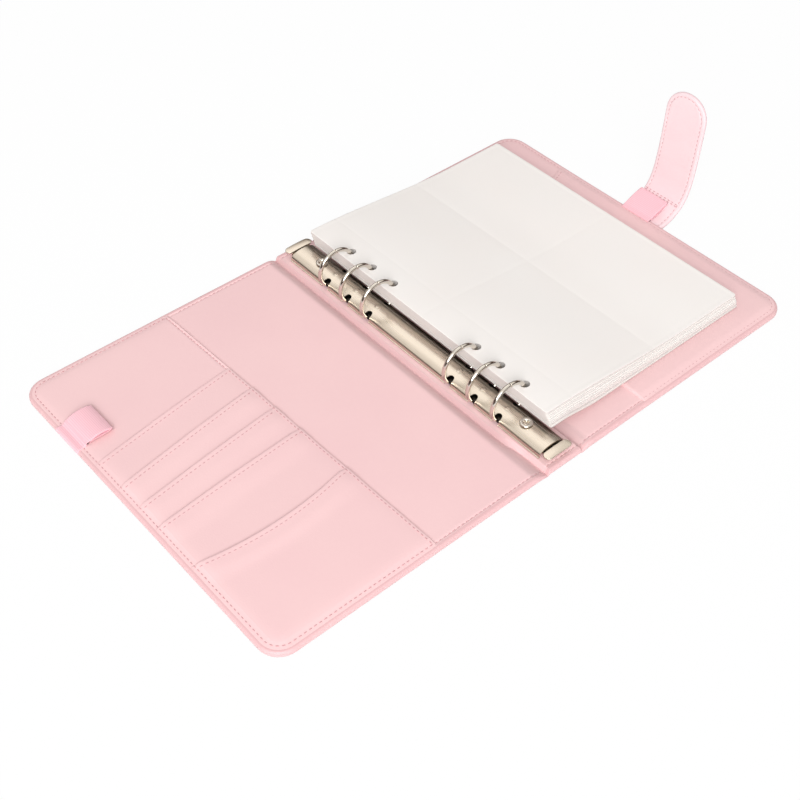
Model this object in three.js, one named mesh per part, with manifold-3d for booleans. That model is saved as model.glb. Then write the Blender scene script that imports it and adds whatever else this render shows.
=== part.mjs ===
// A cash envelope wallet: an A5 six-ring binder in soft leatherette, lying open and flat.
// Millimetres. X runs across the open covers, Y along the spine, Z up from the table.
// The origin is the middle of the spine's underside.
import * as THREE from 'three';
import { mergeVertices } from 'three/addons/utils/BufferGeometryUtils.js';
import Module from 'manifold-3d';

// Covers
const coverHeight = 231.7;
const frontReach = 188.7;
const backReach = 186.0;
const cornerRadius = 13;
const outerSkin = 1.0;
const boardThickness = 2.2;
const liningThickness = 1.0;
const rimWidth = 2.2;
const rimProud = 0.3;
const boardClearance = 0.3;
const layFlatGap = 0.3;

// Spine and hinge grooves
const hingeX = 19.5;
const spineBoardHalf = 15.5;
const panelStart = 22.5;
const hingeGap = 0.3;
const grooveLining = 0.9;
const liningRiser = 0.9;
const riserClearance = 0.3;

// Ring plate
const plateLength = 212;
const plateHalf = 9.5;
const plateRise = 3.5;
const plateLip = 1.5;
const plateSteel = 0.7;
const slotWidth = 3.8;
const slotReach = 4.2;
const rivetInset = 19;
const rivetY = plateLength / 2 - rivetInset;
const rivetShank = 2.0;
const rivetBore = 1.3;
const rivetBoreDepth = 3.0;
const rivetHead = 3.7;
const rivetHeadHeight = 0.9;
const rivetClearance = 0.3;
const rivetSeat = 0.1;
const rivetRound = 0.4;
const dimpleRadius = 2.2;
const dimpleTaper = 0.6;
const dimpleRise = 0.35;
const dimpleSink = 0.2;

// Rings
const ringYs = [-73, -54, -35, 35, 54, 73];
const ringRadius = 12;
const wireRadius = 1.4;
const ringAxisAboveCrest = 5.8;
const ringTipGap = 0.3;
const ringSides = 8;
const ringSteps = 12;
const railThickness = 0.8;
const railEndGap = 8.5;
const railMiddleGap = 0.5;
const railClearance = 0.3;
const railLift = 1.1;
const footGap = 0.3;
const notchClearance = 0.8;

// Levers
const padReach = 7.2;
const padHalf = 9.0;
const padCorner = 3.6;
const padDrop = 0.5;
const leverSteel = 0.8;
const leverNeck = 6.6;
const padGap = 0.5;
const pivotInset = 3.5;
const noseReach = 9.5;
const noseHalf = 1.5;
const noseSteel = 0.5;
const noseGap = 0.3;

// Sleeves
const sleeveTopEnd = 105;
const sleeveBottomEnd = 98.5;
const sleeveOuter = 162;
const sleeveHoleOffset = 1.1;
const sleeveHoleRadius = 2.9;
const sleeveSpineMargin = 1.7;
const sleeveHoleSpread = 0.9;
const sleeveHalfAtRings = 5.5;
const sleeveTopOuter = 13.5;
const sleeveLie = 0.3;
const leafCount = 9;
const leafGap = 0.2;
const weldedStrip = 13;
const sleeveDropStart = 15;
const sleeveDropEnd = 40;

// Pockets
const pocketSheet = 0.8;
const cardSheet = 0.7;
const cardLap = 8;
const cardRamp = 5;
const cardGap = 0.3;
const cardEdgeGap = 0.6;
const slipEdgeFar = 94;
const slipEdgeNear = 87;
const cardLeft = 185.4;
const cardRight = 95.5;
const cardEdges = [[41, 54], [19, 32.5], [1.5, 12.5], [-15.5, -8.7]];
const curvedEdge = -46.3;
const curvedDip = 5.3;
const backPocketX = 64;
const pocketInset = 0.8;
const curvedMargin = 4;
const slantAtFore = 66;
const slantAtEdge = 22;

// Strap, pen loops and magnets
const strapY = -3.4;
const strapWidth = 30;
const strapThickness = 3.0;
const strapRoot = 12;
const strapTop = 67.5;
const strapLining = 0.8;
const strapSeam = 0.3;
const strapInnerStart = 2;
const strapClearance = 0.3;
const strapCurve = [[4, 0.5], [11.5, 3.1], [18.8, 8.8], [23, 17], [25, 28], [26.2, 43]];
const strapLean = 27;
const strapSteps = 22;
const elasticWidth = 22;
const elasticThickness = 1.1;
const loopStart = 3;
const loopGap = 0.15;
const loopSteps = 10;
const foreLoopY = 66;
const foreLoopReach = 21;
const foreLoopOpening = 1.9;
const strapLoopY = 1;
const strapLoopReach = 21;
const strapLoopOpening = 2.2;
const magnetRadius = 8;
const magnetThickness = 1.4;
const magnetClearance = 0.3;
const magnetCover = 0.1;
const strapMagnetThickness = 0.9;
const strapMagnetCover = 0.6;
const frontMagnetInset = 46;

// Heights worked out from the layers
const halfHeight = coverHeight / 2;
const boardBase = outerSkin;
const liningBase = boardBase + boardThickness;
const liningTop = liningBase + liningThickness;
const rimTop = liningTop + rimProud;
const grooveTop = outerSkin + grooveLining;
const plateBase = liningTop + layFlatGap;
const archBase = plateBase + plateLip;
const plateCrest = archBase + plateRise;
const ringAxisZ = plateCrest + ringAxisAboveCrest;
const railBase = plateBase + railLift;
const railTop = railBase + railThickness;
const railOuter = plateHalf - plateSteel - railClearance;

const wasm = await Module();
wasm.setup();

function solidOf(geometry) {
  const bare = geometry.clone();
  bare.deleteAttribute('normal');
  bare.deleteAttribute('uv');
  const merged = mergeVertices(bare, 1e-4);
  return new wasm.Manifold(new wasm.Mesh({
    numProp: 3,
    vertProperties: new Float32Array(merged.attributes.position.array),
    triVerts: new Uint32Array(merged.index.array),
  }));
}

function geometryOf(solid) {
  const mesh = solid.getMesh();
  const geometry = new THREE.BufferGeometry();
  geometry.setAttribute('position', new THREE.BufferAttribute(mesh.vertProperties, 3));
  geometry.setIndex(new THREE.BufferAttribute(mesh.triVerts, 1));
  return geometry;
}

// A flat piece with the given outline in X and Y.
function plateOf(outline, base, top, segments = 5) {
  const options = { depth: top - base, bevelEnabled: false, curveSegments: segments };
  const geometry = new THREE.ExtrudeGeometry(outline, options);
  geometry.translate(0, 0, base);
  return solidOf(geometry);
}

// A section drawn in X and Z, carried along Y from y0 to y1.
function alongY(section, y0, y1, segments = 8) {
  const shape = Array.isArray(section) ? new THREE.Shape(section) : section;
  const options = { depth: y1 - y0, bevelEnabled: false, curveSegments: segments };
  const geometry = new THREE.ExtrudeGeometry(shape, options);
  geometry.rotateX(Math.PI / 2);
  geometry.translate(0, y1, 0);
  return solidOf(geometry);
}

// A section drawn in Y and Z, carried along X from x0 to x1.
function alongX(section, x0, x1, segments = 8) {
  const shape = Array.isArray(section) ? new THREE.Shape(section) : section;
  const options = { depth: x1 - x0, bevelEnabled: false, curveSegments: segments };
  const geometry = new THREE.ExtrudeGeometry(shape, options);
  const turn = new THREE.Matrix4().set(0, 0, 1, x0, 1, 0, 0, 0, 0, 1, 0, 0, 0, 0, 0, 1);
  geometry.applyMatrix4(turn);
  return solidOf(geometry);
}

function point(x, y) {
  return new THREE.Vector2(x, y);
}

function upright(radius, x, y, base, top, sides = 24) {
  const geometry = new THREE.CylinderGeometry(radius, radius, top - base, sides);
  geometry.rotateX(Math.PI / 2);
  geometry.translate(x, y, (base + top) / 2);
  return solidOf(geometry);
}

function box(x0, x1, y0, y1, z0, z1) {
  const geometry = new THREE.BoxGeometry(x1 - x0, y1 - y0, z1 - z0);
  geometry.translate((x0 + x1) / 2, (y0 + y1) / 2, (z0 + z1) / 2);
  return solidOf(geometry);
}

// A cover's outline on its own side of the spine, square at the hinge and rounded at the fore edge.
function coverOutline(side, start, reach, inset) {
  const shape = new THREE.Shape();
  const half = halfHeight - inset;
  const edge = reach - inset;
  const radius = cornerRadius - inset;
  shape.moveTo(start, -half);
  shape.lineTo(edge - radius, -half);
  shape.absarc(edge - radius, -half + radius, radius, -Math.PI / 2, 0, false);
  shape.lineTo(edge, half - radius);
  shape.absarc(edge - radius, half - radius, radius, 0, Math.PI / 2, false);
  shape.lineTo(start, half);
  shape.closePath();
  if (side > 0) {
    return shape;
  }
  const mirrored = shape.extractPoints(5).shape.map((p) => point(-p.x, p.y));
  return new THREE.Shape(mirrored.reverse());
}

const hingeStart = hingeX + hingeGap / 2;

// The outer skin: a sheet under the board whose edges turn up round it as a padded rim.
function outerCover(side, reach) {
  const full = plateOf(coverOutline(side, hingeStart, reach, 0), 0, rimTop);
  const tray = plateOf(coverOutline(side, hingeX - 1, reach, rimWidth), outerSkin, rimTop + 1);
  const hinge = side * (hingeX - 1);
  const panel = side * panelStart;
  const grooveEnds = box(Math.min(hinge, panel), Math.max(hinge, panel),
    -halfHeight - 1, halfHeight + 1, outerSkin, rimTop + 1);
  return full.subtract(tray).subtract(grooveEnds);
}

function coverBoard(side, reach) {
  return plateOf(coverOutline(side, panelStart, reach, rimWidth + boardClearance), boardBase, liningBase);
}

// The lining lies on the board, drops down its edge and runs along the groove to the hinge line.
function coverLining(side, reach) {
  const inner = panelStart - riserClearance;
  const section = [
    point(hingeStart, outerSkin),
    point(inner, outerSkin),
    point(inner, liningBase),
    point(reach, liningBase),
    point(reach, liningTop),
    point(inner - liningRiser, liningTop),
    point(inner - liningRiser, grooveTop),
    point(hingeStart, grooveTop),
  ].map((p) => point(side * p.x, p.y));
  const strip = alongY(side > 0 ? section : section.reverse(), -halfHeight, halfHeight);
  const field = plateOf(coverOutline(side, hingeX - 1, reach, rimWidth + boardClearance), 0, rimTop);
  return strip.intersect(field);
}

function spineOuter() {
  const half = hingeX - hingeGap / 2;
  const endInset = halfHeight - rimWidth;
  let solid = box(-half, half, -halfHeight, halfHeight, 0, outerSkin);
  for (const end of [-1, 1]) {
    const y0 = Math.min(end * endInset, end * halfHeight);
    solid = solid.add(box(-spineBoardHalf, spineBoardHalf, y0, y0 + rimWidth, 0, rimTop));
  }
  return solid;
}

function spineBoard() {
  const end = halfHeight - rimWidth - boardClearance;
  return box(-spineBoardHalf, spineBoardHalf, -end, end, boardBase, liningBase);
}

function spineLining() {
  const half = hingeX - hingeGap / 2;
  const riser = spineBoardHalf + riserClearance;
  const right = [
    point(riser, liningBase),
    point(riser, outerSkin),
    point(half, outerSkin),
    point(half, grooveTop),
    point(riser + liningRiser, grooveTop),
    point(riser + liningRiser, liningTop),
  ];
  const left = right.map((p) => point(-p.x, p.y)).reverse();
  const end = halfHeight - rimWidth - boardClearance;
  return alongY([...right, ...left], -end, end);
}

// The arched section of the ring plate: outer face, then inner face, down to the lips.
function archSection() {
  const shape = new THREE.Shape();
  shape.moveTo(plateHalf, plateBase);
  shape.lineTo(plateHalf, archBase);
  shape.absellipse(0, archBase, plateHalf, plateRise, 0, Math.PI, false, 0);
  shape.lineTo(-plateHalf, plateBase);
  shape.lineTo(-plateHalf + plateSteel, plateBase);
  shape.lineTo(-plateHalf + plateSteel, archBase);
  shape.absellipse(0, archBase, plateHalf - plateSteel, plateRise - plateSteel, Math.PI, 0, true, 0);
  shape.lineTo(plateHalf - plateSteel, plateBase);
  shape.closePath();
  return shape;
}

function slotCutter(side, y) {
  const radius = slotWidth / 2;
  const inner = plateHalf - slotReach + radius;
  const shape = new THREE.Shape();
  shape.moveTo(plateHalf + 1, radius);
  shape.lineTo(inner, radius);
  shape.absarc(inner, 0, radius, Math.PI / 2, Math.PI * 1.5, false);
  shape.lineTo(plateHalf + 1, -radius);
  shape.closePath();
  const geometry = new THREE.ExtrudeGeometry(shape, { depth: 10, bevelEnabled: false, curveSegments: 6 });
  geometry.rotateZ(side > 0 ? 0 : Math.PI);
  geometry.translate(0, y, plateBase - 1);
  return solidOf(geometry);
}

// A low round pip pressed up in the crest between the feet of each ring.
function dimple(y) {
  const height = dimpleRise + dimpleSink;
  const geometry = new THREE.CylinderGeometry(dimpleRadius * dimpleTaper, dimpleRadius, height, 16);
  geometry.rotateX(Math.PI / 2);
  geometry.translate(0, y, plateCrest + dimpleRise - height / 2);
  return solidOf(geometry);
}

function ringPlate() {
  let solid = alongY(archSection(), -plateLength / 2, plateLength / 2, 10);
  for (const y of ringYs) {
    solid = solid.subtract(slotCutter(1, y)).subtract(slotCutter(-1, y));
    solid = solid.add(dimple(y));
  }
  for (const y of [-rivetY, rivetY]) {
    solid = solid.subtract(upright(rivetShank + rivetClearance, 0, y, archBase, plateCrest + 1));
  }
  return solid;
}

// A hollow rivet: a rolled head over the plate, a shank through the spine and a head below.
function rivet(y) {
  const lowTop = outerSkin - rivetSeat;
  const highHead = plateCrest + rivetClearance;
  const highTop = highHead + rivetHeadHeight;
  const profile = [
    point(0, rivetSeat),
    point(rivetHead, rivetSeat),
    point(rivetHead, lowTop),
    point(rivetShank, lowTop),
    point(rivetShank, highHead),
    point(rivetHead, highHead),
    point(rivetHead, highTop - rivetRound),
    point(rivetHead - rivetRound, highTop),
    point(rivetBore + rivetRound, highTop),
    point(rivetBore, highTop - rivetRound),
    point(rivetBore, highTop - rivetBoreDepth),
    point(0, highTop - rivetBoreDepth),
  ];
  const geometry = new THREE.LatheGeometry(profile, 20);
  geometry.rotateX(Math.PI / 2);
  geometry.translate(0, y, 0);
  return solidOf(geometry);
}

function pierced(solid, radius, base, top) {
  let result = solid;
  for (const y of [-rivetY, rivetY]) {
    result = result.subtract(upright(radius, 0, y, base, top));
  }
  return result;
}

// A flat bar under the arch that carries one side's half rings and turns at its outer edge.
function rail(side) {
  const end = plateLength / 2 - railEndGap;
  const inner = side * railMiddleGap / 2;
  const outer = side * railOuter;
  const bar = box(Math.min(inner, outer), Math.max(inner, outer), -end, end, railBase, railTop);
  return pierced(bar, rivetShank + notchClearance, railBase - 1, railTop + 1);
}

class RingArc extends THREE.Curve {
  constructor(radius, from, to, side) {
    super();
    Object.assign(this, { radius, from, to, side });
  }

  getPoint(t, target = new THREE.Vector3()) {
    const angle = this.from + (this.to - this.from) * t;
    return target.set(this.side * this.radius * Math.cos(angle), 0, this.radius * Math.sin(angle));
  }
}

function tubeAlong(path, radius, sides, steps) {
  const section = new THREE.Shape();
  for (let i = 0; i < sides; i += 1) {
    const angle = (i / sides) * 2 * Math.PI;
    const x = radius * Math.cos(angle);
    const y = radius * Math.sin(angle);
    if (i === 0) {
      section.moveTo(x, y);
    } else {
      section.lineTo(x, y);
    }
  }
  section.closePath();
  return new THREE.ExtrudeGeometry(section, { steps, bevelEnabled: false, extrudePath: path });
}

// Half a ring, from its foot on the rail to the tip at the top.
const footAngle = Math.asin((railTop + footGap + wireRadius * Math.SQRT1_2 - ringAxisZ) / ringRadius);
const tipAngle = Math.PI / 2 - ringTipGap / 2 / ringRadius;

function halfRing(side, y) {
  const path = new RingArc(ringRadius, footAngle, tipAngle, side);
  const geometry = tubeAlong(path, wireRadius, ringSides, ringSteps);
  geometry.translate(0, y, ringAxisZ);
  return solidOf(geometry);
}

// One lever of sheet steel: a rounded thumb pad outside the plate, a neck that steps down under the
// arch and a narrow nose below the rails' inner edges.
const padTop = plateCrest - padDrop;
const padBase = padTop - leverSteel;
const noseTop = railBase - noseGap;
const leverPivotY = plateLength / 2 - pivotInset;
const neckTop = archBase + (plateRise - plateSteel)
  * Math.sqrt(1 - (leverNeck / (plateHalf - plateSteel)) ** 2) - railClearance;

function lever(end) {
  const padInner = plateLength / 2 + padGap;
  const padOuter = plateLength / 2 + padReach;
  const noseEnd = plateLength / 2 - noseReach;
  const neckEnd = leverPivotY - leverSteel;
  const neckBase = neckTop - leverSteel;
  const noseBase = noseTop - noseSteel;
  const neckSection = [
    point(padInner + leverSteel, padBase),
    point(padInner + leverSteel, padTop),
    point(padInner, padTop),
    point(padInner, neckTop),
    point(leverPivotY, neckTop),
    point(neckEnd - leverSteel, noseTop),
    point(neckEnd - leverSteel, noseBase),
    point(neckEnd, noseBase),
    point(leverPivotY + leverSteel, neckBase),
    point(padInner + leverSteel, neckBase),
  ];
  const noseSection = [
    point(neckEnd, noseBase),
    point(neckEnd, noseTop),
    point(noseEnd, noseTop),
    point(noseEnd, noseBase),
  ];
  const blade = new THREE.Shape();
  const far = padOuter - padInner;
  blade.moveTo(-padHalf, 0);
  blade.lineTo(padHalf, 0);
  blade.lineTo(padHalf, far - padCorner);
  blade.absarc(padHalf - padCorner, far - padCorner, padCorner, 0, Math.PI / 2, false);
  blade.lineTo(-padHalf + padCorner, far);
  blade.absarc(-padHalf + padCorner, far - padCorner, padCorner, Math.PI / 2, Math.PI, false);
  blade.closePath();
  const pad = new THREE.ExtrudeGeometry(blade, { depth: leverSteel, bevelEnabled: false, curveSegments: 6 });
  pad.translate(0, padInner, padBase);
  const neck = alongX(neckSection.reverse(), -leverNeck, leverNeck);
  const nose = alongX(noseSection.reverse(), -noseHalf, noseHalf);
  const geometry = geometryOf(solidOf(pad).add(neck).add(nose));
  if (end < 0) {
    geometry.rotateZ(Math.PI);
  }
  return solidOf(geometry);
}

// The clear sleeves, welded together along the ring strip and loose leaves beyond it.
function sleeveSection() {
  const axisTop = ringAxisZ + sleeveHalfAtRings;
  const axisBottom = ringAxisZ - sleeveHalfAtRings;
  const lie = liningTop + pocketSheet + cardSheet + sleeveLie;
  const inner = ringRadius + sleeveHoleOffset - sleeveHoleRadius - sleeveSpineMargin;
  const ease = (t) => t * t * (3 - 2 * t);
  const fall = (x) => ease(THREE.MathUtils.clamp((x - sleeveDropStart) / (sleeveDropEnd - sleeveDropStart), 0, 1));
  const bottomAt = (x) => axisBottom + (lie - axisBottom) * fall(x);
  const topAt = (x) => axisTop + (sleeveTopOuter - axisTop) * fall(x);
  const stations = [sleeveDropStart, 19, 23, 27.5, 32, 36, sleeveDropEnd, sleeveOuter];
  const outline = [];
  for (let i = 0; i <= 8; i += 1) {
    const z = axisTop + (axisBottom - axisTop) * (i / 8);
    outline.push(point(Math.sqrt(inner ** 2 - (z - ringAxisZ) ** 2), z));
  }
  stations.forEach((x) => outline.push(point(x, bottomAt(x))));
  for (let leaf = 0; leaf < leafCount; leaf += 1) {
    const edge = (x, share) => bottomAt(x) + (topAt(x) - bottomAt(x)) * share;
    const above = (leaf + 1) / leafCount;
    const loose = stations.filter((x) => x > inner + weldedStrip);
    if (leaf === leafCount - 1) {
      [...stations].reverse().forEach((x) => outline.push(point(x, topAt(x))));
    } else {
      [...loose].reverse().forEach((x) => outline.push(point(x, edge(x, above) - leafGap / 2)));
      loose.forEach((x) => outline.push(point(x, edge(x, above) + leafGap / 2)));
    }
  }
  return outline;
}

function sleeveStack() {
  let solid = alongY(sleeveSection(), -sleeveBottomEnd, sleeveTopEnd);
  for (const y of ringYs) {
    const path = new RingArc(ringRadius + sleeveHoleOffset, -sleeveHoleSpread, sleeveHoleSpread, 1);
    const hole = tubeAlong(path, sleeveHoleRadius, 12, 12);
    hole.translate(0, y, ringAxisZ);
    solid = solid.subtract(solidOf(hole));
  }
  return solid;
}

// The slip panel inside the front cover, open along its edge nearest the spine.
function slipPocket() {
  const field = coverOutline(-1, slipEdgeNear - 10, frontReach, rimWidth + boardClearance);
  const sheet = plateOf(field, liningTop, liningTop + pocketSheet);
  const beyond = new THREE.Shape([
    point(-slipEdgeNear, -halfHeight - 1),
    point(0, -halfHeight - 1),
    point(0, halfHeight + 1),
    point(-slipEdgeFar, halfHeight + 1),
  ]);
  return sheet.subtract(plateOf(beyond, 0, rimTop + 5));
}

const cardBase = liningTop + pocketSheet;

// A strip that lies on the panel at its foot and laps over the strip behind it at its edge.
function lappedSection(drop, laps) {
  const lift = laps ? cardSheet + cardGap : 0;
  return [
    point(0, cardBase + lift),
    point(0, cardBase + lift + cardSheet),
    point(-cardLap - cardEdgeGap, cardBase + lift + cardSheet),
    point(-cardLap - cardEdgeGap - cardRamp, cardBase + cardSheet),
    point(-drop, cardBase + cardSheet),
    point(-drop, cardBase),
    point(-cardLap - cardEdgeGap - cardRamp, cardBase),
    point(-cardLap - cardEdgeGap, cardBase + lift),
  ];
}

function cardPocket(index) {
  const [atFore, atSpine] = cardEdges[index];
  const nextFore = index + 1 < cardEdges.length ? cardEdges[index + 1][0] : curvedEdge - curvedDip;
  const length = cardLeft - cardRight;
  const drop = atFore - nextFore + cardLap;
  const section = lappedSection(drop, index > 0);
  const strip = alongX(section.reverse(), 0, length);
  const slope = (atSpine - atFore) / length;
  const place = new THREE.Matrix4().set(
    1, 0, 0, -cardLeft,
    slope, 1, 0, atFore,
    0, 0, 1, 0,
    0, 0, 0, 1,
  );
  const geometry = geometryOf(strip);
  geometry.applyMatrix4(place);
  return solidOf(geometry);
}

// The large bottom pocket, its mouth dipping in a shallow curve.
function curvedPocket() {
  const foot = curvedEdge + halfHeight - rimWidth - boardClearance;
  const mouth = cardLap + curvedDip + cardEdgeGap;
  const lift = cardSheet + cardGap;
  const section = [
    point(0, cardBase + lift),
    point(0, cardBase + lift + cardSheet),
    point(-mouth, cardBase + lift + cardSheet),
    point(-mouth - cardRamp, cardBase + cardSheet),
    point(-foot, cardBase + cardSheet),
    point(-foot, cardBase),
    point(-mouth - cardRamp, cardBase),
    point(-mouth, cardBase + lift),
  ].map((p) => point(p.x + curvedEdge, p.y));
  const sheet = alongX(section.reverse(), -frontReach, -cardRight);
  const middle = -(cardLeft + cardRight) / 2;
  const half = (cardLeft - cardRight) / 2 + curvedMargin;
  const cut = new THREE.Shape();
  cut.moveTo(middle - half, curvedEdge);
  for (let i = 1; i <= 16; i += 1) {
    const u = -1 + i / 8;
    cut.lineTo(middle + half * u, curvedEdge - curvedDip * (1 - u * u));
  }
  cut.lineTo(middle + half, curvedEdge + 5);
  cut.lineTo(middle - half, curvedEdge + 5);
  cut.closePath();
  const field = plateOf(coverOutline(-1, cardRight, frontReach, rimWidth + boardClearance + pocketInset), 0, 20);
  return sheet.subtract(plateOf(cut, 0, 20)).intersect(field);
}

function backPanel() {
  const field = coverOutline(1, backPocketX, backReach, rimWidth + boardClearance);
  return plateOf(field, liningTop, liningTop + pocketSheet);
}

// A second pocket on the panel, its mouth slanting down towards the spine.
function backPocket() {
  const field = coverOutline(1, backPocketX + pocketInset, backReach, rimWidth + boardClearance + pocketInset);
  const beyond = new THREE.Shape([
    point(backPocketX, slantAtEdge),
    point(backReach + 1, slantAtFore),
    point(backReach + 1, halfHeight + 1),
    point(backPocketX, halfHeight + 1),
  ]);
  const sheet = plateOf(field, cardBase, cardBase + cardSheet);
  return sheet.subtract(plateOf(beyond, 0, 20));
}

// The strap's middle line in X and Z: out of the fore edge, curving up, then nearly upright.
const strapRootZ = boardBase + boardThickness / 2;
const strapLine = new THREE.CatmullRomCurve3([
  new THREE.Vector3(backReach - strapRoot, strapRootZ, 0),
  new THREE.Vector3(backReach - strapRoot / 4, strapRootZ, 0),
  ...strapCurve.map(([out, up]) => new THREE.Vector3(backReach + out, strapRootZ + up, 0)),
  new THREE.Vector3(backReach + strapLean, strapTop, 0),
], false, 'centripetal');

function strapBand(offsetLow, offsetHigh, from, to, steps) {
  const low = [];
  const high = [];
  for (let i = 0; i <= steps; i += 1) {
    const t = from + (to - from) * (i / steps);
    const p = strapLine.getPointAt(t);
    const d = strapLine.getTangentAt(t);
    low.push(point(p.x + d.y * -offsetLow, p.y + d.x * offsetLow));
    high.push(point(p.x + d.y * -offsetHigh, p.y + d.x * offsetHigh));
  }
  return [...low, ...high.reverse()];
}

// Cuts a strip to the strap's width and gives it the round tip.
function strapTrim(solid, width) {
  const radius = width / 2;
  const outline = new THREE.Shape();
  outline.moveTo(strapY - radius, -5);
  outline.lineTo(strapY + radius, -5);
  outline.lineTo(strapY + radius, strapTop);
  outline.absarc(strapY, strapTop, radius, 0, Math.PI, false);
  outline.closePath();
  return solid.intersect(alongX(outline, backReach - 2 * strapRoot, backReach + 2 * strapLean, 14));
}

function strapStrip(offsetLow, offsetHigh, from, width) {
  const end = strapLine.getPointAt(1);
  const tangent = strapLine.getTangentAt(1);
  const tip = width / 2 + 2;
  const section = strapBand(offsetLow, offsetHigh, from, 1, strapSteps);
  const lift = (offset) => point(
    end.x - tangent.y * offset + tangent.x * tip,
    end.y + tangent.x * offset + tangent.y * tip,
  );
  section.splice(strapSteps + 1, 0, lift(offsetLow), lift(offsetHigh));
  const strip = alongY(section, strapY - width, strapY + width);
  return strapTrim(strip, width);
}

const strapFrom = (strapRoot + strapInnerStart) / strapLine.getLength();

// A disc square to the strap at its tip, between two offsets from the strap's middle line.
function strapDisc(radius, low, high) {
  const centre = strapLine.getPointAt(1);
  const along = strapLine.getTangentAt(1);
  const geometry = new THREE.CylinderGeometry(radius, radius, high - low, 24);
  const inward = new THREE.Vector3(-along.y, 0, along.x);
  const turn = new THREE.Quaternion().setFromUnitVectors(new THREE.Vector3(0, 1, 0), inward);
  geometry.applyQuaternion(turn);
  const middle = (low + high) / 2;
  geometry.translate(centre.x - along.y * middle, strapY, centre.y + along.x * middle);
  return solidOf(geometry);
}

const magnetLow = -strapThickness / 2 + strapMagnetCover;

function strapOuter() {
  const high = strapThickness / 2 - strapLining - strapSeam;
  const body = strapStrip(-strapThickness / 2, high, 0, strapWidth);
  return body.subtract(strapDisc(magnetRadius + magnetClearance, magnetLow - magnetClearance / 2, high + 1));
}

function strapInner() {
  const low = strapThickness / 2 - strapLining;
  return strapStrip(low, strapThickness / 2, strapFrom, strapWidth);
}

// Elastic, folded flat into a loop that holds a pen.
function elasticLoop(line, opening, width, y) {
  const t = elasticThickness;
  const count = line.length - 1;
  const bulge = (i) => opening * Math.sin((Math.PI * i) / count) + loopGap;
  const normal = (i) => {
    const a = line[Math.max(0, i - 1)];
    const b = line[Math.min(count, i + 1)];
    const length = Math.hypot(b.x - a.x, b.y - a.y);
    return point(-(b.y - a.y) / length, (b.x - a.x) / length);
  };
  const offsetLine = (offset) => line.map((p, i) => {
    const n = normal(i);
    const d = offset(i);
    return point(p.x + n.x * d, p.y + n.y * d);
  });
  const top = offsetLine((i) => bulge(i) + t);
  const innerTop = offsetLine((i) => bulge(i));
  const innerLow = offsetLine(() => 0);
  const low = offsetLine(() => -t);
  const shape = new THREE.Shape([...low, ...top.reverse()]);
  const hole = [...innerLow.slice(1, -1), ...innerTop.slice(1, -1).reverse()];
  shape.holes.push(new THREE.Path(hole));
  return alongY(shape, y - width / 2, y + width / 2);
}

const steel = { color: 0xd9cfc0, roughness: 0.22, metalness: 1.0 };
const leatherette = { color: 0xf6d0d0, roughness: 0.55, metalness: 0.0 };
const skinPink = { color: 0xf4c9cb, roughness: 0.5, metalness: 0.0 };
const pocketPink = { color: 0xfad3d3, roughness: 0.55, metalness: 0.0 };
const strapPink = { color: 0xfddde1, roughness: 0.55, metalness: 0.0 };
const elasticPink = { color: 0xfdc9d2, roughness: 0.85, metalness: 0.0 };
const frosted = { color: 0xf2ece8, roughness: 0.35, metalness: 0.0, transparent: true, opacity: 0.85 };
const greyBoard = { color: 0x9a938a, roughness: 0.95, metalness: 0.0 };
const magnetGrey = { color: 0x7d7d80, roughness: 0.4, metalness: 1.0 };

const group = new THREE.Group();

function place(name, solid, finish) {
  const mesh = new THREE.Mesh(geometryOf(solid), new THREE.MeshStandardMaterial(finish));
  mesh.name = name;
  group.add(mesh);
}

function buildSpine() {
  place('spine_outer', pierced(spineOuter(), rivetHead + rivetClearance, -1, outerSkin + 1), skinPink);
  place('spine_board', pierced(spineBoard(), rivetShank + rivetClearance, 0, 10), greyBoard);
  place('spine_lining', pierced(spineLining(), rivetShank + rivetClearance, 0, 10), leatherette);
  place('ring_plate', ringPlate(), steel);
  place('rivet_near', rivet(-rivetY), steel);
  place('rivet_far', rivet(rivetY), steel);
}

function buildRings() {
  for (const [name, side] of [['left', -1], ['right', 1]]) {
    place(`${name}_rail`, rail(side), steel);
    ringYs.forEach((y, i) => place(`${name}_half_ring_${i + 1}`, halfRing(side, y), steel));
  }
  place('lever_near', lever(-1), steel);
  place('lever_far', lever(1), steel);
}

function buildFrontCover() {
  const magnetX = -(frontReach - frontMagnetInset);
  const top = liningBase - magnetCover;
  const seat = upright(magnetRadius + magnetClearance, magnetX, strapY, top - magnetThickness - magnetCover, liningBase + 1);
  place('front_outer', outerCover(-1, frontReach), skinPink);
  place('front_board', coverBoard(-1, frontReach).subtract(seat), greyBoard);
  place('front_magnet', upright(magnetRadius, magnetX, strapY, top - magnetThickness, top), magnetGrey);
  place('front_lining', coverLining(-1, frontReach), leatherette);
  place('slip_pocket', slipPocket(), leatherette);
  cardEdges.forEach((edge, i) => place(`card_pocket_${i + 1}`, cardPocket(i), pocketPink));
  place('curved_pocket', curvedPocket(), pocketPink);
}

// The loop leaves the fore edge, turns over the rim and lies inwards on the panel.
function foreLoop() {
  const z = cardBase + layFlatGap + elasticThickness;
  const line = [];
  for (let i = 0; i <= loopSteps; i += 1) {
    line.push(point(-frontReach + loopStart + (foreLoopReach - loopStart) * (i / loopSteps), z));
  }
  return elasticLoop(line, foreLoopOpening, elasticWidth, foreLoopY);
}

function strapLoop() {
  const line = [];
  const length = strapLine.getLength();
  for (let i = 0; i <= loopSteps; i += 1) {
    const t = (strapRoot + loopStart + strapLoopReach * (i / loopSteps)) / length;
    const p = strapLine.getPointAt(t);
    const d = strapLine.getTangentAt(t);
    const offset = strapThickness / 2 + layFlatGap + elasticThickness;
    line.push(point(p.x - d.y * offset, p.y + d.x * offset));
  }
  return elasticLoop(line, strapLoopOpening, elasticWidth, strapLoopY);
}

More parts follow.
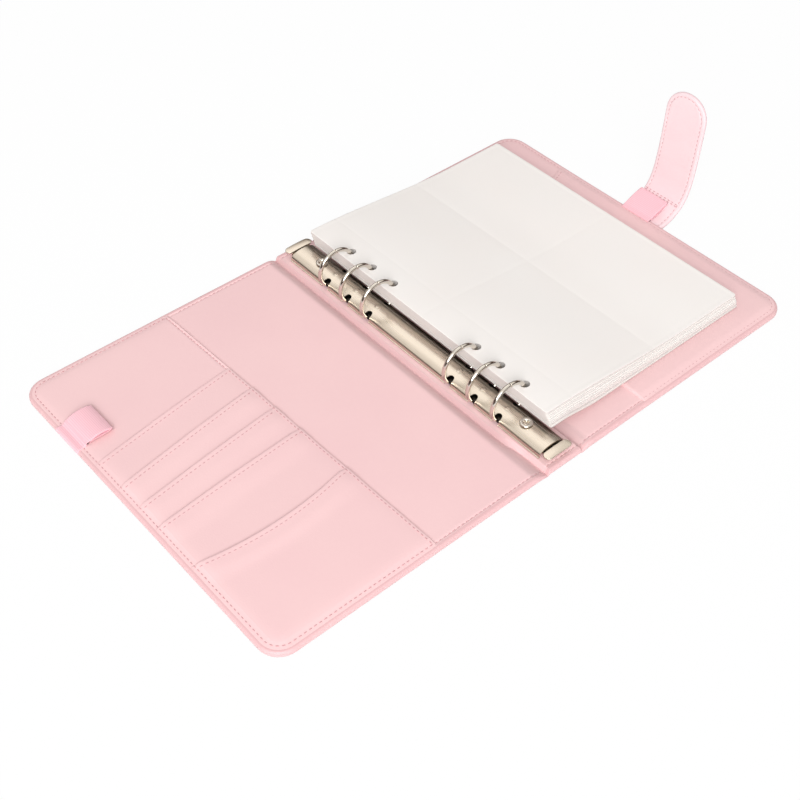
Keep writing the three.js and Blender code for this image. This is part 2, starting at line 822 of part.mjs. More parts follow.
function buildBackCover() {
  const slotHalf = strapWidth / 2 + strapClearance;
  const rootHalf = strapThickness / 2 + strapClearance;
  const mouth = box(backReach - strapRoot - strapClearance, backReach + 1,
    strapY - slotHalf, strapY + slotHalf, strapRootZ - rootHalf, strapRootZ + rootHalf);
  place('back_outer', outerCover(1, backReach).subtract(mouth), skinPink);
  place('back_board', coverBoard(1, backReach).subtract(mouth), greyBoard);
  place('back_lining', coverLining(1, backReach).subtract(mouth), leatherette);
  place('back_panel', backPanel(), leatherette);
  place('back_pocket', backPocket(), pocketPink);
  place('strap_outer', strapOuter(), strapPink);
  place('strap_inner', strapInner(), strapPink);
  place('strap_magnet', strapDisc(magnetRadius, magnetLow, magnetLow + strapMagnetThickness), magnetGrey);
}

buildSpine();
buildRings();
buildFrontCover();
place('front_pen_loop', foreLoop(), elasticPink);
buildBackCover();
place('strap_pen_loop', strapLoop(), elasticPink);
place('sleeve_stack', sleeveStack(), frosted);

export default group;
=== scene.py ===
# %% [markdown]
# # A cash envelope wallet, lying open
# The wallet is an A5 six-ring binder in soft leatherette: a front cover with card pockets, a narrow
# spine that carries a nickel ring mechanism, and a back cover with a closing strap. A stack of
# frosted film sleeves hangs on the rings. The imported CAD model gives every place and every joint,
# so this lesson starts by loading it, and each new piece is made where its solid already is.

# %% Load the frame
import math
import bmesh
import bpy
from mathutils import Matrix, Quaternion, Vector, noise


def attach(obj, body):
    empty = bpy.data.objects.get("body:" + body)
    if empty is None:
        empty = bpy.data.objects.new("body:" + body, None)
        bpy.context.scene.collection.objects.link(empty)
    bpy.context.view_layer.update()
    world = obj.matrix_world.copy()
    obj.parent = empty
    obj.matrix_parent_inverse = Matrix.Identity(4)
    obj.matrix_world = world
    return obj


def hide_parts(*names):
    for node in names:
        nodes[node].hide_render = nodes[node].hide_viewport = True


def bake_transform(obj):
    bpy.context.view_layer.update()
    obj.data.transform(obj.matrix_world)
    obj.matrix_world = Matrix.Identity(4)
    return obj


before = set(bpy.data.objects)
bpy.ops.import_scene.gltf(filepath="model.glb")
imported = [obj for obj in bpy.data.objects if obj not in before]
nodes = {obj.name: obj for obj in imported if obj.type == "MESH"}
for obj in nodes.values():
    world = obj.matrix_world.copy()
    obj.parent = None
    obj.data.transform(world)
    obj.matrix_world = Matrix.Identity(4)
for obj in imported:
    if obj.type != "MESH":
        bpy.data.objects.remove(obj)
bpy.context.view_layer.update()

MM = 0.001
print("CAD pieces:", len(nodes))

# %% [markdown]
# ## Camera
# The photograph looks down at the wallet from its left front corner. The camera was solved from the
# standard ring spacing and the cover corners: it stands 717 mm from the middle of what it sees, at
# 45.7 degrees above the table, with a 58.8 mm lens on a 36 mm sensor.

# %% Make the camera
camera_at = Vector((-359.9, -402.5, 513.4)) * MM
camera_target = Vector((-33.3, -23.3, 0)) * MM
camera_data = bpy.data.cameras.new("camera")
camera_data.lens = 58.80
camera_data.sensor_width = 36
camera_data.clip_start = 0.01
camera = bpy.data.objects.new("camera", camera_data)
camera.location = camera_at
camera.rotation_euler = (camera_target - camera_at).to_track_quat("-Z", "Y").to_euler()
bpy.context.scene.collection.objects.link(camera)
bpy.context.scene.camera = camera
bpy.context.scene.view_settings.view_transform = "Standard"

# %% [markdown]
# ## Colours and shader nodes
# Colours are easiest to read as the hex values of a picture, but a shader works in linear light, so
# one function turns the one into the other. A second small function adds a node with its settings
# and links, so that a material reads as a short list.

# %% Define the helpers for materials
def linear(code):
    parts = [int(code[i:i + 2], 16) / 255 for i in (0, 2, 4)]
    return [c / 12.92 if c <= 0.04045 else ((c + 0.055) / 1.055) ** 2.4 for c in parts] + [1.0]


def add_node(tree, kind, settings=(), links=()):
    node = tree.nodes.new(kind)
    for key, value in dict(settings).items():
        if isinstance(key, str) and hasattr(node, key):
            setattr(node, key, value)
        else:
            node.inputs[key].default_value = value
    for socket, source in dict(links).items():
        tree.links.new(source, node.inputs[socket])
    return node


def new_material(name, **surface):
    material = bpy.data.materials.new(name)
    material.use_nodes = True
    shader = material.node_tree.nodes["Principled BSDF"]
    for key, value in surface.items():
        shader.inputs[key.replace("_", " ")].default_value = value
    return material, material.node_tree, shader


# %% [markdown]
# ## Leatherette
# The covers, pockets and strap are PU leatherette: a soft coated cloth, pressed with a fine pebble
# grain. It gives a satin sheen and a colour that drifts a little where hands and glue have been.
# A Voronoi pattern draws the pebbles. Real ones are about 0.5 mm across, too fine to show here, so
# they are drawn at 0.9 mm, and a broad noise lets the colour drift over some 60 mm. The lining has
# painted shade along the two hinge grooves, darker where the groove's shadow falls.

# %% Make the leatherettes
GRAIN_PER_METRE = 1100
DRIFT_PER_METRE = 16
GROOVE_SHADE_X = 0.0165


def two_tone(tree, fac, dark, light):
    """A colour that goes from dark to light with the value fac."""
    ramp = add_node(tree, "ShaderNodeValToRGB", {}, {"Fac": fac})
    ramp.color_ramp.elements[0].color = linear(dark)
    ramp.color_ramp.elements[1].color = linear(light)
    return ramp


def speckled(tree, shader, place, noise_settings, dark, light):
    """Colours a shader in two tones by a noise, and gives back the ramp."""
    spots = add_node(tree, "ShaderNodeTexNoise", noise_settings, {"Vector": place})
    ramp = two_tone(tree, spots.outputs["Fac"], dark, light)
    tree.links.new(ramp.outputs["Color"], shader.inputs["Base Color"])
    return ramp


def shade_by(tree, colour, distance, near, far, low):
    """A colour that is darkened to low up to the distance near, and whole again at far."""
    share = add_node(tree, "ShaderNodeMapRange", {"interpolation_type": "SMOOTHSTEP", "From Min": near,
                                                  "From Max": far, "To Min": low}, {"Value": distance})
    return add_node(tree, "ShaderNodeVectorMath", {"operation": "SCALE"},
                    {0: colour, "Scale": share.outputs[0]}).outputs[0]


def leatherette(name, light, dark, roughness=0.52, painted_groove_shade=False):
    material, tree, shader = new_material(name, Roughness=roughness)
    shader.inputs["Sheen Weight"].default_value = 0.08
    shader.inputs["Sheen Roughness"].default_value = 0.5
    place = add_node(tree, "ShaderNodeTexCoord").outputs["Object"]
    drift = add_node(tree, "ShaderNodeTexNoise", {"Scale": DRIFT_PER_METRE, "Detail": 3.0}, {"Vector": place})
    speck = add_node(tree, "ShaderNodeTexNoise", {"Scale": 420.0, "Detail": 2.0}, {"Vector": place})
    both = add_node(tree, "ShaderNodeMath", {"operation": "MULTIPLY_ADD", 1: 0.25},
                    {0: speck.outputs["Fac"], 2: drift.outputs["Fac"]})
    ramp = two_tone(tree, both.outputs[0], dark, light)
    ramp.color_ramp.elements[0].position = 0.38
    ramp.color_ramp.elements[1].position = 0.78
    colour = ramp.outputs["Color"]
    # Painted shade: a band of the lining along each hinge groove, about 16.5 mm either side of the spine's
    # middle, is darkened to 0.8 of its colour.
    if painted_groove_shade:
        across = add_node(tree, "ShaderNodeSeparateXYZ", {}, {0: place})
        side = add_node(tree, "ShaderNodeMath", {"operation": "ABSOLUTE"}, {0: across.outputs["X"]})
        off = add_node(tree, "ShaderNodeMath", {"operation": "SUBTRACT", 1: GROOVE_SHADE_X}, {0: side.outputs[0]})
        off = add_node(tree, "ShaderNodeMath", {"operation": "ABSOLUTE"}, {0: off.outputs[0]})
        colour = shade_by(tree, colour, off.outputs[0], 0.0025, 0.006, 0.8)
    tree.links.new(colour, shader.inputs["Base Color"])
    grain = add_node(tree, "ShaderNodeTexVoronoi", {"feature": "SMOOTH_F1", "Scale": GRAIN_PER_METRE},
                     {"Vector": place})
    bump = add_node(tree, "ShaderNodeBump", {"Strength": 0.12, "Distance": 0.0002},
                    {"Height": grain.outputs["Distance"]})
    tree.links.new(bump.outputs["Normal"], shader.inputs["Normal"])
    return material


skin_leatherette = leatherette("pebbled_pu_leatherette_outside", "E6BBBC", "E3B6B8")
lining_leatherette = leatherette("smooth_pu_leatherette_lining", "F3CCCC", "F0C8C9", 0.56, True)
pocket_leatherette = leatherette("smooth_pu_leatherette_pockets", "F2CBCB", "F0C8C9", 0.56)
strap_leatherette = leatherette("smooth_pu_leatherette_strap", "F3D8DB", "F0D2D6", 0.56)

# %% [markdown]
# ## Thread, elastic, metal, film and board
# The seams are polyester thread a little deeper than the leatherette. The pen loops are woven
# elastic, whose rubber cores show as ribs. The ring mechanism is nickel-plated steel: a warm mirror
# with faint rolling streaks along it. A white room has little that is dark for the plate to mirror,
# so a painted reflection stands in: the brown band that a real room draws along its far side is
# painted into its colour. The sleeves are frosted polypropylene film, milky and only partly clear;
# painted shade greys their faces that tilt away from upward, so the sides of the stack are greyer.
# The stiffeners are grey board, and the rails under the plate are coloured dark as painted shade
# for the hollow under the plate.

# %% Make the other materials
thread_material, tree, shader = new_material("polyester_thread", Roughness=0.7)
place = add_node(tree, "ShaderNodeTexCoord").outputs["Object"]
speckled(tree, shader, place, {"Scale": 900.0}, "CB989C", "D6A6A9")

elastic_material, tree, shader = new_material("woven_elastic", Roughness=0.8)
shader.inputs["Sheen Weight"].default_value = 0.25
place = add_node(tree, "ShaderNodeTexCoord").outputs["Object"]
picks = add_node(tree, "ShaderNodeTexWave", {"bands_direction": "X", "Scale": 300.0, "Distortion": 0.6},
                 {"Vector": place})
ramp = two_tone(tree, picks.outputs["Fac"], "F5BBC5", "FAC8D0")
tree.links.new(ramp.outputs["Color"], shader.inputs["Base Color"])
bump = add_node(tree, "ShaderNodeBump", {"Strength": 0.3, "Distance": 0.0002}, {"Height": picks.outputs["Fac"]})
tree.links.new(bump.outputs["Normal"], shader.inputs["Normal"])


def nickel_plate(name, colour, roughness, painted_reflection_past=None):
    material, tree, shader = new_material(name, Metallic=1.0)
    place = add_node(tree, "ShaderNodeTexCoord").outputs["Object"]
    along = add_node(tree, "ShaderNodeMapping", {"Scale": (900.0, 25.0, 900.0)}, {"Vector": place})
    streak = add_node(tree, "ShaderNodeTexNoise", {"Scale": 1.0, "Detail": 4.0}, {"Vector": along.outputs[0]})
    polish = add_node(tree, "ShaderNodeMapRange", {"To Min": roughness - 0.04, "To Max": roughness + 0.05},
                      {"Value": streak.outputs["Fac"]})
    tree.links.new(polish.outputs[0], shader.inputs["Roughness"])
    ramp = add_node(tree, "ShaderNodeValToRGB", {}, {"Fac": streak.outputs["Fac"]})
    ramp.color_ramp.elements[0].color = [c * 0.93 for c in linear(colour)[:3]] + [1.0]
    ramp.color_ramp.elements[1].color = linear(colour)
    tree.links.new(ramp.outputs["Color"], shader.inputs["Base Color"])
    # Painted reflection: towards +X, from 1.6 mm past the crown, the plate's colour is darkened to 0.52,
    # standing in for the dark band a room would reflect there.
    if painted_reflection_past is not None:
        across = add_node(tree, "ShaderNodeSeparateXYZ", {}, {0: place})
        back = add_node(tree, "ShaderNodeMath", {"operation": "MULTIPLY", 1: -1.0}, {0: across.outputs["X"]})
        colour = shade_by(tree, ramp.outputs["Color"], back.outputs[0], -painted_reflection_past - 0.0018, -painted_reflection_past, 0.52)
        tree.links.new(colour, shader.inputs["Base Color"])
    return material


plate_nickel = nickel_plate("nickel_plated_sheet_steel", "DCD0C1", 0.27, 0.0016)
pad_nickel = nickel_plate("nickel_plated_thumb_pad", "DCD0C1", 0.25)
wire_nickel = nickel_plate("nickel_plated_wire", "DDD6CC", 0.14)
rivet_nickel = nickel_plate("nickel_plated_rivet", "DAD4CB", 0.2)

film_material, tree, shader = new_material("frosted_polypropylene_film", Roughness=0.42, IOR=1.49, Alpha=0.9)
place = add_node(tree, "ShaderNodeTexCoord").outputs["Object"]
frost = add_node(tree, "ShaderNodeTexNoise", {"Scale": 1500.0, "Detail": 2.0}, {"Vector": place})
ramp = speckled(tree, shader, place, {"Scale": 22.0}, "FFF8F3", "FFFBF7")
# Painted shade: faces of the film that tilt away from upward are darkened, down to 0.78 of the colour, which
# greys the sides of the stack.
facing = add_node(tree, "ShaderNodeNewGeometry").outputs["Normal"]
upward = add_node(tree, "ShaderNodeSeparateXYZ", {}, {0: facing})
colour = shade_by(tree, ramp.outputs["Color"], upward.outputs["Z"], 0.1, 0.7, 0.78)
tree.links.new(colour, shader.inputs["Base Color"])
bump = add_node(tree, "ShaderNodeBump", {"Strength": 0.1, "Distance": 0.0001}, {"Height": frost.outputs["Fac"]})
tree.links.new(bump.outputs["Normal"], shader.inputs["Normal"])


def plain_board(name, light, dark, metallic=0.0, roughness=0.9):
    material, tree, shader = new_material(name, Roughness=roughness, Metallic=metallic)
    place = add_node(tree, "ShaderNodeTexCoord").outputs["Object"]
    speckled(tree, shader, place, {"Scale": 600.0, "Detail": 5.0}, dark, light)
    return material


grey_board = plain_board("grey_binders_board", "A9A299", "857E76")
magnet_plate = plain_board("zinc_plated_magnet", "8E8E92", "77777B", 1.0, 0.35)
# Painted shade: the rails are coloured dark to stand in for the shade in the hollow under the plate, which the
# slots show.
rail_steel_painted_shade = plain_board("dark_rail_painted_shade", "45403C", "34302D", 1.0, 0.45)

# %% [markdown]
# ## How the soft parts lie
# Board, foam and glue leave the covers very nearly flat, but never quite: the leatherette swells
# and dips by a fraction of a millimetre. At the two hinge lines there is no board, so the covers
# sink into a groove. Both are functions of the place on the table, and every layer uses the same
# ones, so that the layers move together and never cut through each other.

# %% Define the lie of the leatherette
HALF = 231.7 / 2
FRONT = 188.7
BACK = 186.0
CORNER = 13.0
SPINE_EDGE = 12.5
GROOVE_FLOOR = 0.22
BOARD_START = 21.5
SEAM_HEIGHT = 4.3


def ease(t):
    t = min(1.0, max(0.0, t))
    return t * t * (3 - 2 * t)


def groove(x, y):
    """How much of its height the cover keeps: 1 on board, less in a hinge groove."""
    spine_edge = SPINE_EDGE - (2.4 * ease((-82 - y) / 14) if x < 0 else 0.0)
    wall = 1 - ease((abs(x) - spine_edge) / 1.6)
    up = min(1.0, max(0.0, (abs(x) - spine_edge - 1.5) / (BOARD_START - spine_edge - 1.5)))
    slope = 1 - (1 - up) ** 2
    return GROOVE_FLOOR + (1 - GROOVE_FLOOR) * max(wall, slope)


def from_edge(x, y):
    """The distance in from the outline of the covers."""
    reach = FRONT if x < 0 else BACK
    out_x = abs(x) - (reach - CORNER)
    out_y = abs(y) - (HALF - CORNER)
    if out_x > 0 and out_y > 0:
        return CORNER - math.hypot(out_x, out_y)
    return CORNER - max(out_x, out_y)


def swell(x, y):
    broad = noise.noise(Vector((x / 52, y / 47, 1.7)))
    fine = noise.noise(Vector((x / 19, y / 23, 8.3)))
    return 0.16 * broad + 0.05 * fine


def lie(x, y, z):
    """The height of a point of the covers, in mm, from its height on a flat table of layers."""
    if z > SEAM_HEIGHT:
        z = SEAM_HEIGHT + (z - SEAM_HEIGHT) * (0.14 + 0.86 * ease((from_edge(x, y) - 2.2) / 5.5))
    share = max(0.0, min(1.0, (z - 2.5) / 1.5))
    return (z + swell(x, y) * share) * groove(x, y)


# %% [markdown]
# ## Sheets with a sewn edge
# A cover, a lining and a pocket are all one shape: a flat outline with some round corners, a soft
# shoulder at its edge, and a row of stitches pulled down into a shallow trough. The outline is one
# face. Bevelling its corner points rounds them, insetting the face step by step gives rings whose
# heights draw the shoulder and the trough, and cutting it by planes gives it the points that the
# swell needs. The same steps serve each sheet, so they are one function.

# %% Define the sheet maker
def divide(bm, axis, values):
    for value in values:
        normal = Vector((0, 0, 0))
        normal[axis] = 1
        geometry = bm.verts[:] + bm.edges[:] + bm.faces[:]
        bmesh.ops.bisect_plane(bm, geom=geometry, dist=1e-5, plane_co=normal * value, plane_no=normal)


def steps(low, high, size):
    count = max(1, round((high - low) / size))
    return [low + (high - low) * i / count for i in range(1, count)]


def rounded_face(bm, corners, radii, segments=9):
    points = [bm.verts.new((x, y, 0)) for x, y in corners]
    bm.faces.new(points)
    for vert, radius in zip(points, radii):
        if radius:
            bmesh.ops.bevel(bm, geom=[vert], offset=radius, offset_type="OFFSET", segments=segments,
                            profile=0.5, affect="VERTICES", material=-1)
    face = bm.faces[:][0]
    bmesh.ops.recalc_face_normals(bm, faces=[face])
    if face.normal.z < 0:
        face.normal_flip()
    return face


SEWN_EDGE = ((0, -0.5), (0.12, -0.18), (0.25, 0.0), (1.0, 0.1), (0.9, 0.0), (0.35, -0.24), (0.35, -0.02),
             (0.9, 0.06), (1.6, 0.0))
TUCKED_EDGE = ((0, -0.3), (0.4, 0.22), (0.5, 0.16), (0.5, -0.02), (0.35, -0.26), (0.4, -0.04), (0.9, 0.05),
               (1.6, 0.0))
SEWN_RING = 5
TUCKED_RING = 4


def sewn_sheet(corners, radii, base, top, edge=SEWN_EDGE, ring=SEWN_RING):
    """A bmesh of the sheet, flat, in mm, and the closed line that its stitches follow."""
    bm = bmesh.new()
    face = rounded_face(bm, corners, radii)
    line = None
    for index, (width, rise) in enumerate(edge):
        if width:
            bmesh.ops.inset_region(bm, faces=[face], thickness=width, use_even_offset=True, use_boundary=True)
        for vert in face.verts:
            vert.co.z = top + rise
        if index == ring:
            line = [loop.vert.co.copy() for loop in face.loops]
    rim = [e for e in bm.edges if e.is_boundary]
    made = bmesh.ops.extrude_edge_only(bm, edges=rim)["geom"]
    for item in made:
        if isinstance(item, bmesh.types.BMVert):
            item.co.z = base
    bottom = [item for item in made if isinstance(item, bmesh.types.BMEdge)]
    bmesh.ops.edgeloop_fill(bm, edges=bottom)
    return bm, line


def settle(bm, height=lie, cell=5.0):
    xs = [v.co.x for v in bm.verts]
    ys = [v.co.y for v in bm.verts]
    divide(bm, 0, steps(min(xs), max(xs), cell))
    divide(bm, 1, steps(min(ys), max(ys), cell))
    for vert in bm.verts:
        vert.co.z = height(*vert.co)


def add_object(name, bm):
    mesh = bpy.data.meshes.new(name)
    bm.to_mesh(mesh)
    bm.free()
    made = bpy.data.objects.new(name, mesh)
    bpy.context.scene.collection.objects.link(made)
    return made


def finish_piece(name, bm, material, body, replaces=(), smooth=40):
    """Turns a bmesh in mm into a smooth-shaded object in metres that rides on its body."""
    bmesh.ops.scale(bm, vec=(MM, MM, MM), verts=bm.verts[:])
    bmesh.ops.recalc_face_normals(bm, faces=bm.faces[:])
    for face in bm.faces:
        face.smooth = True
    for edge in bm.edges:
        if len(edge.link_faces) == 2 and edge.calc_face_angle() > math.radians(smooth):
            edge.smooth = False
    piece = add_object(name, bm)
    mesh = piece.data
    mesh.materials.append(material)
    if body:
        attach(piece, body)
    if replaces:
        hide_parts(*replaces)
    print(name, len(mesh.polygons), "faces, top at", round(max(v.co.z for v in mesh.vertices) / MM, 2), "mm")
    return piece


# %% [markdown]
# ## Stitches
# Each stitch is one short bar of thread that dives into the sheet at both ends. A squashed sphere
# with few faces is enough, since there are some hundreds of them. They are set along a line at a
# steady pitch of 3 mm, and they take the height of the sheet that they hold.

# %% Define the stitcher
STITCH_PITCH = 3.0
STITCH_LENGTH = 1.9
THREAD_RADIUS = 0.24
UP = Vector((0, 0, 1))


def add_stitch(bm, spot, direction, lift):
    """A bar of thread at a spot, along a direction and upright to lift."""
    side = lift.cross(direction).normalized()
    turn = Matrix((direction, side, direction.cross(side))).transposed().to_4x4()
    size = Matrix.Diagonal((STITCH_LENGTH / 2, THREAD_RADIUS, THREAD_RADIUS * 0.9, 1))
    bmesh.ops.create_uvsphere(bm, u_segments=8, v_segments=5, radius=1,
                              matrix=Matrix.Translation(spot) @ turn @ size)


def along(line, pitch):
    """Points and directions at a steady pitch along a line of points."""
    travelled = pitch / 2
    for a, b in zip(line, line[1:]):
        length = (b - a).length
        while travelled < length:
            yield a.lerp(b, travelled / length), (b - a).normalized()
            travelled += pitch
        travelled -= length


def sew(line, height=lie, rise=0.1, keep=lambda spot: True):
    """The stitches along a line, each at the height of the sheet there."""
    bm = bmesh.new()
    for spot, direction in along(line, STITCH_PITCH):
        if keep(spot):
            add_stitch(bm, Vector((spot.x, spot.y, height(*spot) + rise)), direction, UP)
    return bm


def closed(line):
    return line + [line[0]]


# %% [markdown]
# ## The covers
# Each half of the cover is one skin that runs from the middle of the spine to the fore edge. It is
# made a little too long, given its round corners, thickened, bevelled all round into a padded rim,
# and sunk in the middle as a tray for the lining.

# %% Model the skins and linings
RIM_TOP = 4.5
LINING_TOP = 4.2
RIM = 2.3
RIM_ROUND = 1.7
TUCK = 1.9
OVERRUN = 8.0
FLEX_LINES = [9 + 0.6 * i for i in range(28)]


def cut_at_spine(bm, side):
    geometry = bm.verts[:] + bm.edges[:] + bm.faces[:]
    bmesh.ops.bisect_plane(bm, geom=geometry, dist=1e-5, plane_co=(0, 0, 0), plane_no=(side, 0, 0),
                           clear_inner=True)


def cover_corners(side, start, reach, inset):
    x0, x1, y = side * start, side * (reach - inset), HALF - inset
    return [(x0, -y), (x1, -y), (x1, y), (x0, y)]


def cover_skin(name, side, reach, replaced):
    bm = bmesh.new()
    face = rounded_face(bm, cover_corners(side, -OVERRUN, reach, 0), (0, CORNER, CORNER, 0), 10)
    made = bmesh.ops.extrude_face_region(bm, geom=[face])["geom"]
    for item in made:
        if isinstance(item, bmesh.types.BMVert):
            item.co.z = RIM_TOP
    rims = [e for e in bm.edges if e.verts[0].co.z == e.verts[1].co.z]
    bmesh.ops.bevel(bm, geom=rims, offset=RIM_ROUND, offset_type="OFFSET", segments=5, profile=0.5,
                    affect="EDGES", material=-1, clamp_overlap=True)
    bmesh.ops.recalc_face_normals(bm, faces=bm.faces[:])
    inside = max((f for f in bm.faces if f.normal.z > 0.99), key=lambda f: f.calc_area())
    bmesh.ops.inset_region(bm, faces=[inside], thickness=RIM - RIM_ROUND + 0.2, use_even_offset=True)
    bmesh.ops.inset_region(bm, faces=[inside], thickness=0.3, use_even_offset=True)
    for vert in inside.verts:
        vert.co.z = 1.0
    cut_at_spine(bm, side)
    divide(bm, 0, [side * x for x in FLEX_LINES])
    settle(bm, cell=6.0)
    skin = finish_piece(name, bm, skin_leatherette, None, replaced)
    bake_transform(skin)
    return skin


def cover_lining(name, side, reach, replaced, keep):
    radius = CORNER - TUCK
    bm, line = sewn_sheet(cover_corners(side, -OVERRUN, reach, TUCK), (0, radius, radius, 0), 3.2, LINING_TOP,
                          TUCKED_EDGE, TUCKED_RING)
    cut_at_spine(bm, side)
    divide(bm, 0, [side * x for x in FLEX_LINES])
    settle(bm)
    lining = finish_piece(name, bm, lining_leatherette, None, replaced)
    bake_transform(lining)
    seam = sew(closed(line), keep=lambda p: side * p.x > 0 and keep(p))
    seam = finish_piece(name + "_stitches", seam, thread_material, None)
    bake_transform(seam)
    return lining


cover_skin("front_cover_skin", -1, FRONT, ("front_outer", "spine_outer", "spine_board"))
cover_skin("back_cover_skin", 1, BACK, ("back_outer", "spine_outer"))
cover_lining("front_cover_lining", -1, FRONT, ("front_lining", "spine_lining"),
             lambda p: p.x > -88)
cover_lining("back_cover_lining", 1, BACK, ("back_lining", "spine_lining"),
             lambda p: p.x < 64)

# %% [markdown]
# ## The pockets
# Inside the front cover a large slip panel is sewn down on three sides. On it lie four card strips
# and a wide pocket with a curved mouth, each lapping over the one above like roof tiles. A strip is
# a sewn sheet whose height follows the distance below its mouth: highest where it laps, with the
# mouth standing slightly open, then down a soft ramp onto the panel.

# %% Model the pockets of the front cover
PANEL_TOP = 5.0
STRIP = 0.5
LAP = 8.6
LAP_RISE = 0.8
RAMP = 5.5
GAPE = 0.6
FORE_X = -186.5
CARD_X = (-185.6, -94.8)
CARD_EDGES = ((41.0, 54.0), (19.0, 32.5), (1.5, 12.5), (-15.5, -8.7))
CURVED_EDGE = -46.3
CURVED_DIP = 5.6
PANEL_FAR = -94.0
PANEL_NEAR = -87.0
MOUTH_SEAM = 2.8
POCKET_EDGE = ((0, -0.4), (0.12, -0.15), (0.25, 0.0), (0.9, 0.06), (1.2, 0.0), (1.4, 0.0))
radius = CORNER - TUCK


def panel_edge(y):
    """Where the slip panel ends towards the spine. It's a little slanted."""
    return PANEL_NEAR + (PANEL_FAR - PANEL_NEAR) * (y + HALF - TUCK) / (2 * (HALF - TUCK))


def mouth_line(edge):
    at_fore, at_spine = edge
    return lambda x: at_fore + (at_spine - at_fore) * (x - CARD_X[0]) / (CARD_X[1] - CARD_X[0])


def curved_mouth(x):
    u = (x - sum(CARD_X) / 2) / ((CARD_X[1] - CARD_X[0]) / 2)
    return CURVED_EDGE - CURVED_DIP * (1 - min(1.0, u * u))


def lapped(mouth, laps):
    """The height of a strip that laps over the one above it, and is sewn flat at the panel's edge."""
    def height(x, y, z):
        below = max(0.0, mouth(x) - y)
        lap = LAP_RISE * (1 - ease((below - LAP) / RAMP)) if laps else 0.0
        across = (x - FORE_X) / (panel_edge(y) - FORE_X)
        gape = GAPE * math.exp(-below / 2.5) * max(0.0, math.sin(math.pi * across))
        held = 0.5 + 0.5 * ease((panel_edge(y) - x - 0.8) / 6)
        return lie(x, y, PANEL_TOP + (z - PANEL_TOP + lap + gape) * held)
    return height


mouths = [mouth_line(edge) for edge in CARD_EDGES] + [curved_mouth]
heights = [lapped(mouth, index > 0) for index, mouth in enumerate(mouths)]


def topmost(x, y, z):
    """The height of the uppermost layer at a place on the slip panel."""
    over = [height for mouth, height in zip(mouths, heights) if mouth(x) > y]
    return over[-1](x, y, PANEL_TOP + STRIP) if over else lie(x, y, z)


bm, line = sewn_sheet([(PANEL_NEAR, -HALF + TUCK), (PANEL_FAR, HALF - TUCK), (-FRONT + TUCK, HALF - TUCK),
                       (-FRONT + TUCK, -HALF + TUCK)], (0, 0, radius, radius), 4.0, PANEL_TOP, TUCKED_EDGE,
                      TUCKED_RING)
settle(bm)
finish_piece("front_slip_panel", bm, lining_leatherette, "front_cover",
             ("slip_pocket",))
finish_piece("front_slip_panel_stitches", sew(closed(line), topmost, 0.15), thread_material, "front_cover")

for index, edge in enumerate(CARD_EDGES):
    mouth = mouths[index]
    following = CARD_EDGES[index + 1] if index + 1 < len(CARD_EDGES) else (CURVED_EDGE, CURVED_EDGE)
    low = [following[i] - LAP + 2.0 for i in (0, 1)]
    spine_end = panel_edge(edge[1]) - 0.15
    corners = [(FORE_X, mouth(FORE_X)), (FORE_X, low[0]), (panel_edge(low[1]) - 0.15, low[1]),
               (spine_end, mouth(spine_end))]
    bm, _ = sewn_sheet(corners, (0, 0, 0, 0), PANEL_TOP, PANEL_TOP + STRIP, POCKET_EDGE)
    settle(bm, heights[index], 4.0)
    name = f"card_strip_{index + 1}"
    finish_piece(name, bm, pocket_leatherette, "front_cover",
                 (f"card_pocket_{index + 1}",))
    seam = [Vector((x, mouth(x) - MOUTH_SEAM, PANEL_TOP + STRIP)) for x in (FORE_X + 2.4, spine_end - 2.4)]
    finish_piece(name + "_stitches", sew(seam, heights[index], 0.0), thread_material, "front_cover")

near_y = -HALF + 2.2
bm, _ = sewn_sheet([(FORE_X, CURVED_EDGE), (FORE_X, near_y), (panel_edge(near_y) - 0.15, near_y),
                    (panel_edge(CURVED_EDGE) - 0.15, CURVED_EDGE)], (0, CORNER - 2.2, 0, 0), PANEL_TOP,
                   PANEL_TOP + STRIP, POCKET_EDGE)
settle(bm, lambda x, y, z: z, 4.0)
for vert in bm.verts:
    near = ease(1 - (CURVED_EDGE - vert.co.y) / 22)
    vert.co.y += (curved_mouth(vert.co.x) - CURVED_EDGE) * near
    vert.co.z = heights[-1](*vert.co)
finish_piece("curved_slip", bm, pocket_leatherette, "front_cover",
             ("curved_pocket",))
spine_end = panel_edge(CURVED_EDGE) - 2.6
seam = [FORE_X + 2.4 + (spine_end - FORE_X - 2.4) * i / 40 for i in range(41)]
seam = [Vector((x, curved_mouth(x) - MOUTH_SEAM, PANEL_TOP + STRIP)) for x in seam]
finish_piece("curved_slip_stitches", sew(seam, heights[-1], 0.0), thread_material, "front_cover")

# %% [markdown]
# Inside the back cover lies one more panel. A second pocket sits on it with a slanted mouth, which
# the sleeves hide but for its last corner.

# %% Model the pockets of the back cover
PANEL_X = 64.0
SLANT_LOW = 22.0
SLANT_HIGH = 66.0
bm, line = sewn_sheet([(PANEL_X, -HALF + TUCK), (BACK - TUCK, -HALF + TUCK), (BACK - TUCK, HALF - TUCK),
                       (PANEL_X, HALF - TUCK)], (0, radius, radius, 0), 4.0, PANEL_TOP, TUCKED_EDGE, TUCKED_RING)
settle(bm)
finish_piece("back_slip_panel", bm, lining_leatherette, "back_cover", ("back_panel",))
finish_piece("back_slip_panel_stitches", sew(closed(line)), thread_material, "back_cover")

